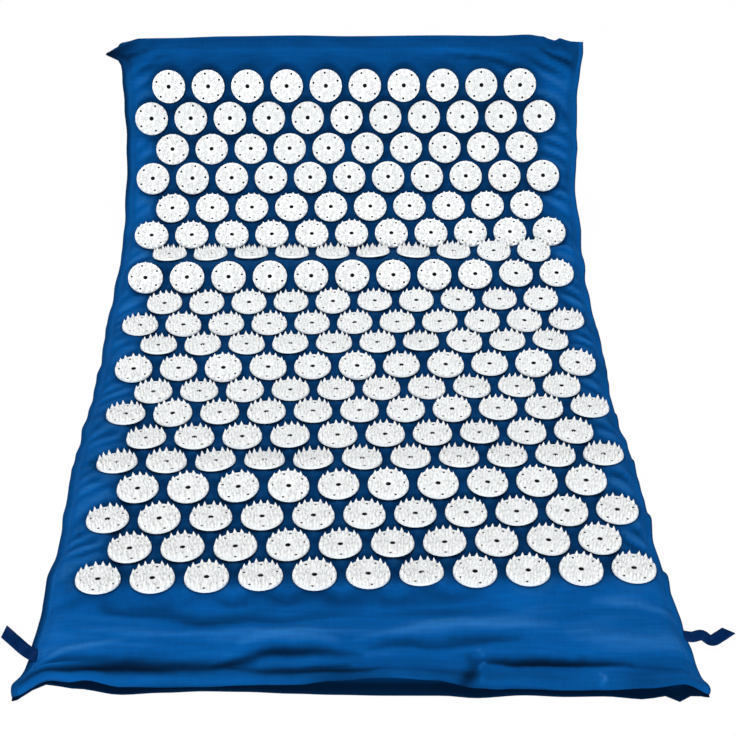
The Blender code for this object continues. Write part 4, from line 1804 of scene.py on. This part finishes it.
@dataclass
class FoamCore:
    """The soft foam slab inside the cover, one piece through the bend."""

    lie: Lie
    top: CoverPanel
    side_share: float = 0.955
    top_gap: float = 0.0026
    under_gap: float = 0.0016
    edge_round: float = 0.0034
    round_share: float = 0.03
    near_inset: float = 0.012
    far_inset: float = 0.014
    end_shrink: float = 0.002

    def ring(self, line: int, shrink: float) -> list:
        """Outline of the slab at one cut: close under the top panel, flat below.

        Args:
            line: the top panel's mesh line at the cut.
            shrink: how much smaller to make it.

        Returns:
            Its points, all the way round.
        """
        arc = self.top.arcs[line]
        under = self.lie.under(arc)
        axis = (self.lie.top(arc) - under).normalized()
        over, below = [], []
        for column, (share, run) in enumerate(self.top.sections):
            if run > 0 or abs(share) > self.side_share:
                continue
            over.append(self.top.rows[line][column] - axis * (self.top_gap + shrink))
            rounded = smooth(self.side_share - self.round_share, self.side_share, abs(share))
            rounded = self.edge_round * rounded
            spot = under + axis * (self.under_gap + shrink + rounded)
            below.append(self.lie.lay(share * self.lie.half_width(arc), arc, spot))
        return over + below[::-1]

    def build(self, finish: bpy.types.Material) -> bpy.types.Object:
        """Carries the outline from cut to cut and closes both ends.

        Args:
            finish: its foam.

        Returns:
            The slab.
        """
        bm = bmesh.new()
        start, end = self.lie.hem_margin - self.near_inset, self.lie.length - self.far_inset
        lines = [line for line, arc in enumerate(self.top.arcs) if start < arc < end]
        previous, ring = [], []
        for line in lines:
            shrink = self.end_shrink if line in (lines[0], lines[-1]) else 0.0
            ring = [bm.verts.new(point) for point in self.ring(line, shrink)]
            edges = [bm.edges.new(pair) for pair in zip(ring, ring[1:] + ring[:1])]
            if previous:
                bmesh.ops.bridge_loops(bm, edges=previous + edges)
            else:
                bm.faces.new(ring)
            previous = edges
        bm.faces.new(ring)
        bmesh.ops.recalc_face_normals(bm, faces=bm.faces)
        return finish_object("foam_core", bm, [finish])


@dataclass
class SeamStitches:
    """Short thread stitches along the two side seams."""

    panel: CoverPanel
    pitch: float = 0.0030
    length: float = 0.0021
    thread: float = 0.00022
    seam_share: float = 0.985
    first_arc: float = 0.012
    ends: float = 0.030

    def lay(self, bm: bmesh.types.BMesh, start: Vector, end: Vector) -> None:
        """One stitch, sunk a little into the cloth at both ends.

        Args:
            bm: the shape that it goes into.
            start: where it goes in.
            end: where it comes out.
        """
        heading = end - start
        turned = heading.to_track_quat("X", "Z").to_matrix().to_4x4()
        stretch = Matrix.Diagonal((self.length / 2, self.thread, self.thread * 0.8, 1))
        middle = (start + end) / 2
        middle.z += self.thread * 0.4
        bmesh.ops.create_icosphere(
            bm, subdivisions=1, radius=1, matrix=Matrix.Translation(middle) @ turned @ stretch
        )

    def run(self, bm: bmesh.types.BMesh, places: list) -> None:
        """Stitches from place to place."""
        for start, end in zip(places, places[1:]):
            self.lay(bm, start, end)

    def build(self, finish: bpy.types.Material) -> bpy.types.Object:
        """Sews all the lines.

        Args:
            finish: the thread.

        Returns:
            All the stitches as one piece.
        """
        bm = bmesh.new()
        lie = self.panel.lie
        for side in Side:
            length = lie.length - self.ends
            count = round(length / self.pitch)
            arcs = [self.first_arc + length * index / count for index in range(count + 1)]
            self.run(bm, [self.panel.at(side.value * self.seam_share, arc) for arc in arcs])
        return finish_object("seam_stitches", bm, [finish])


@dataclass
class ClosureStrip:
    """One of the two fastening strips sewn inside the mouth."""

    lie: Lie
    node: str
    height: float
    edge_round: float = 0.0003

    def build(self, finish: bpy.types.Material) -> bpy.types.Object:
        """Makes the strip with rounded long edges, where the frame holds it.

        Args:
            finish: its nap.

        Returns:
            The strip.
        """
        low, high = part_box(self.node)
        size = high - low
        bm = bmesh.new()
        bmesh.ops.create_cube(bm, size=1)
        bmesh.ops.scale(bm, verts=bm.verts, vec=(size.x, size.y, self.height))
        middle = (low + high) / 2
        bmesh.ops.translate(bm, verts=bm.verts, vec=(0, middle.y, low.z + self.height / 2))
        bmesh.ops.bevel(
            bm, geom=list(bm.edges), offset=self.edge_round, affect="EDGES", segments=2, profile=0.5,
            material=-1,
        )
        for vertex in bm.verts:
            arc = vertex.co.y - self.lie.near_row_y + self.lie.hem_margin
            vertex.co = self.lie.lay(vertex.co.x, arc, vertex.co)
        return finish_object(self.node + "_nap", bm, [finish])


@dataclass
class TieTape:
    """A short woven tape sewn into the side seam near the mouth."""

    side: Side
    path: tuple
    width: float = 0.0084
    thickness: float = 0.0011
    steps: int = 36
    flat_length: float = 0.04
    end_slant: float = 0.0022

    def spine(self, share: float) -> Vector:
        """Point of the tape's middle line at a share of its length.

        Args:
            share: 0 at the sewn end, 1 at the free end.

        Returns:
            The point.
        """
        spot = share * (len(self.path) - 1)
        index = min(int(spot), len(self.path) - 2)
        share = spot - index
        points = [Vector(point) for point in self.path]
        before = points[max(index - 1, 0)]
        first, second = points[index], points[index + 1]
        after = points[min(index + 2, len(points) - 1)]
        return ease_through(before, first, second, after, share)

    def build(self, finish: bpy.types.Material) -> bpy.types.Object:
        """Sweeps the tape's width along its middle line.

        Args:
            finish: its cotton.

        Returns:
            The tape.
        """
        bm = bmesh.new()
        cloth_map = bm.loops.layers.uv.new("cloth")
        wear = bm.verts.layers.float.new("wear")
        painted_shade_and_tone = bm.verts.layers.float.new("painted_shade_and_tone")
        bmesh.ops.create_grid(bm, x_segments=self.steps, y_segments=4, size=1)
        flat = {}
        for vertex in bm.verts:
            share, wide = (vertex.co.x + 1) / 2, vertex.co.y
            spot = self.spine(share)
            heading = self.spine(min(share + 0.01, 1)) - self.spine(max(share - 0.01, 0))
            out = heading.cross(Vector((0, 0, 1))).normalized()
            cut = self.end_slant * wide * smooth(0.85, 1.0, share)
            flat[vertex.index] = (share * self.flat_length, wide * self.width / 2)
            patch = noise.noise(Vector((share * 6, wide * 0.9, self.side.value)))
            vertex[painted_shade_and_tone] = 0.28 + 0.25 * patch
            vertex[wear] = 0.35 * smooth(0.6, 1.0, abs(wide)) + 0.3 * smooth(0.94, 1.0, share)
            vertex.co = spot + out * (wide * self.width / 2) + heading.normalized() * cut
        for face in bm.faces:
            for loop in face.loops:
                loop[cloth_map].uv = flat[loop.vert.index]
        bmesh.ops.recalc_face_normals(bm, faces=bm.faces)
        made = finish_object("webbing_" + self.side.name.lower(), bm, [finish])
        thicken(made, self.thickness, 0)
        return made


@dataclass
class Studio:
    """Pale floor, soft lights and the camera at the photograph's angle."""

    lens: float = 64.44
    eye: tuple = (-0.0354, -0.837406, 0.6727)
    down: float = 37.89
    yaw: float = 3.02
    roll: float = 1.04
    floor_white: tuple = (0.93, 0.93, 0.93, 1)
    floor_half: float = 30
    floor_glow: float = 0.97
    sky_fill: float = 0.42
    sensor: float = 36
    far_clip: float = 60
    lamps: tuple = (
        ("softbox_above", (-0.12, 0.55, 1.95), (0, 0, 0), 1.1, 19),
        ("softbox_front", (-0.30, -2.70, 1.20), (0, 0.1, 0.05), 1.5, 52),
    )

    def floor(self) -> None:
        """A wide pale floor that keeps the mat's shadow and looks white to the camera."""
        bm = bmesh.new()
        bmesh.ops.create_grid(bm, x_segments=1, y_segments=1, size=self.floor_half)
        material, nodes, link = new_material("studio_floor")
        shader = nodes["Principled BSDF"]
        shader.inputs["Base Color"].default_value = self.floor_white
        shader.inputs["Roughness"].default_value = 0.9
        shader.inputs["Specular IOR Level"].default_value = 0.0
        glow = nodes.new("ShaderNodeEmission")
        glow.inputs["Color"].default_value = (1, 1, 1, 1)
        seen = nodes.new("ShaderNodeLightPath")
        rays = (seen.outputs[f"Is {kind} Ray"] for kind in ("Camera", "Glossy", "Transmission"))
        camera, glossy, transmission = rays
        direct = sums(nodes, link, "MAXIMUM", camera, glossy)
        direct = sums(nodes, link, "MAXIMUM", direct, transmission)
        blend = nodes.new("ShaderNodeMixShader")
        link(sums(nodes, link, "MULTIPLY", direct, self.floor_glow), blend.inputs[0])
        link(shader.outputs[0], blend.inputs[1])
        link(glow.outputs[0], blend.inputs[2])
        link(blend.outputs[0], nodes["Material Output"].inputs["Surface"])
        floor = finish_object("studio_floor", bm, [material], smooth_faces=False)

    def sky(self) -> None:
        """Even pale surroundings, white to the camera."""
        world = bpy.data.worlds.new("studio")
        bpy.context.scene.world = world
        world.use_nodes = True
        nodes, link = world.node_tree.nodes, world.node_tree.links.new
        fill = nodes["Background"]
        fill.inputs["Color"].default_value = (1.0, 1.0, 1.0, 1)
        fill.inputs["Strength"].default_value = self.sky_fill
        white = nodes.new("ShaderNodeBackground")
        white.inputs["Color"].default_value = (1, 1, 1, 1)
        white.inputs["Strength"].default_value = 1.0
        seen = nodes.new("ShaderNodeLightPath")
        blend = nodes.new("ShaderNodeMixShader")
        link(seen.outputs["Is Camera Ray"], blend.inputs[0])
        link(fill.outputs[0], blend.inputs[1])
        link(white.outputs[0], blend.inputs[2])
        link(blend.outputs[0], nodes["World Output"].inputs["Surface"])

    def lamp(self, name: str, place: tuple, aim: tuple, size: float, power: float) -> None:
        """One soft square lamp.

        Args:
            name: the lamp's name.
            place: where it hangs.
            aim: what it points at.
            size: its side.
            power: its watts.
        """
        data = bpy.data.lights.new(name, "AREA")
        data.shape = "SQUARE"
        data.size = size
        data.energy = power
        made = bpy.data.objects.new(name, data)
        made.location = place
        made.rotation_euler = (Vector(aim) - Vector(place)).to_track_quat("-Z", "Y").to_euler()
        bpy.context.scene.collection.objects.link(made)

    def camera(self) -> None:
        """The camera, from the fit of the disc field to the photograph."""
        down, yaw, roll = (math.radians(angle) for angle in (self.down, self.yaw, self.roll))
        level = math.cos(down)
        ahead = Vector((math.sin(yaw) * level, math.cos(yaw) * level, -math.sin(down)))
        right = Vector((math.cos(yaw), -math.sin(yaw), 0))
        rise = right.cross(ahead)
        side = right * math.cos(roll) + rise * math.sin(roll)
        up = rise * math.cos(roll) - right * math.sin(roll)
        data = bpy.data.cameras.new("camera")
        data.lens = self.lens
        data.sensor_width = self.sensor
        data.clip_end = self.far_clip
        made = bpy.data.objects.new("camera", data)
        turned = Matrix((side, up, -ahead)).transposed().to_4x4()
        made.matrix_world = Matrix.Translation(self.eye) @ turned
        bpy.context.scene.collection.objects.link(made)
        bpy.context.scene.camera = made

    def build(self) -> None:
        """Sets up the whole studio."""
        self.camera()
        self.floor()
        self.sky()
        for settings in self.lamps:
            self.lamp(*settings)
        bpy.context.scene.view_settings.view_transform = "Standard"


def report(piece: bpy.types.Object) -> None:
    """Logs a finished piece and its count of faces."""
    LOG.info("%s: %d faces", piece.name, len(piece.data.polygons))


@dataclass
class Mat:
    """The whole mat, piece by piece."""

    frame: dict
    lie: Lie = field(default_factory=Lie)
    discs: Optional[DiscField] = None
    bend_climb: float = 8
    bend_half: float = 0.006
    dye: tuple = (0.0010, 0.086, 0.320, 1)
    strip_height: float = 0.0014
    tape_thread: float = 0.0009
    left_tape: tuple = (
        (-0.2110, -0.2762, 0.0030), (-0.2180, -0.2735, 0.0030), (-0.2238, -0.2695, 0.0034),
        (-0.2310, -0.2632, 0.0046), (-0.2392, -0.2560, 0.0062),
    )
    right_tape: tuple = (
        (0.2055, -0.2702, 0.0034), (0.2112, -0.2716, 0.0036), (0.2172, -0.2722, 0.0058),
        (0.2232, -0.2748, 0.0034), (0.2292, -0.2732, 0.0056), (0.2348, -0.2712, 0.0086),
    )
    left_edge: tuple = (-0.2226, -0.2270)
    right_edge: tuple = (0.2090, 0.2124)

    def __post_init__(self) -> None:
        """Lays out the disc field on the lie."""
        self.discs = DiscField(self.lie)

    def cover(self) -> None:
        """Both panels of the cover with their stitches, and the foam slab inside."""
        cotton = Cotton("cover_cotton_painted_disc_shade", self.dye, paint_disc_shade=True).build()
        plain = Cotton("cover_cotton_plain", self.dye).build()
        top_panel = CoverPanel(self.lie, self.discs, Lip.TOP, folds=BAND_FOLDS + FAR_FOLDS)
        top = top_panel.build("cover_top", cotton)
        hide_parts("cover_top_panel")
        back_panel = CoverPanel(
            self.lie, self.discs, Lip.BACK, step_across=0.006, step_along=0.005, fine_step=0.004,
            sewn_to=top_panel,
        )
        back = back_panel.build("cover_back", plain)
        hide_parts("cover_back_panel")
        thread = Grainy("sewing_thread", (0.0016, 0.072, 0.270, 1), 0.0006, 0.0001).build()
        stitches = SeamStitches(top_panel).build(thread)
        foam_finish = Grainy("open_cell_foam", (0.80, 0.77, 0.66, 1), 0.0012, 0.0004).build()
        foam = FoamCore(self.lie, top_panel).build(foam_finish)
        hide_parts("foam_core_foot", "foam_core_head")
        for piece, slot in ((top, "cover_cotton"), (back, "cover_cotton"), (stitches, "cover_cotton"),
                            (foam, "foam")):
            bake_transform(piece)
        for piece in (top, back, stitches, foam):
            report(piece)

    def plates(self) -> None:
        """All rows of discs."""
        plastic = Plastic("disc_plastic_gloss", (0.885, 0.902, 0.905, 1)).build()
        # near-black painted shadow for the disc holes
        hole_shadow = Grainy("hole_shadow_black", (0.004, 0.005, 0.008, 1), 0.0006, 0.0001).build()
        pattern = SpikedDisc().pattern()
        for row in range(self.lie.rows):
            made = DiscRow(row, self.discs.row(row), pattern).build([plastic, hole_shadow])
            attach(made, HEAD if row >= FIRST_HEAD_ROW else FOOT)
            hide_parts(f"disc_row_{row + 1:02d}")
            report(made)
        bpy.data.meshes.remove(pattern)
        LOG.info("discs: %d in %d rows", len(self.discs.places), self.lie.rows)

    def strips(self) -> None:
        """The two fastening strips inside the mouth."""
        nap = Grainy("fastening_nap", (0.003, 0.018, 0.090, 1), 0.0009, 0.0004).build()
        for node in ("loop_strip", "hook_strip"):
            made = ClosureStrip(self.lie, node, self.strip_height).build(nap)
            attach(made, FOOT)
            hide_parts(node)
            report(made)

    def tapes(self) -> None:
        """The two tie tapes at the near end."""
        navy = Cotton("tape_cotton", (0.0008, 0.018, 0.085, 1), self.tape_thread).build()
        for side, path, edge in (
            (Side.LEFT, self.left_tape, self.left_edge),
            (Side.RIGHT, self.right_tape, self.right_edge),
        ):
            made = TieTape(side, path).build(navy)
            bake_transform(made)
            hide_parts("tie_tape_" + side.name.lower())
            report(made)

    def build(self) -> None:
        """Makes every piece in order."""
        self.cover()
        self.strips()
        self.plates()
        self.tapes()


def main() -> None:
    """Loads the frame and dresses it."""
    logging.basicConfig(level=logging.INFO, format="%(message)s")
    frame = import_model()
    Mat(frame).build()
    Studio().build()


if __name__ == "__main__":
    main()
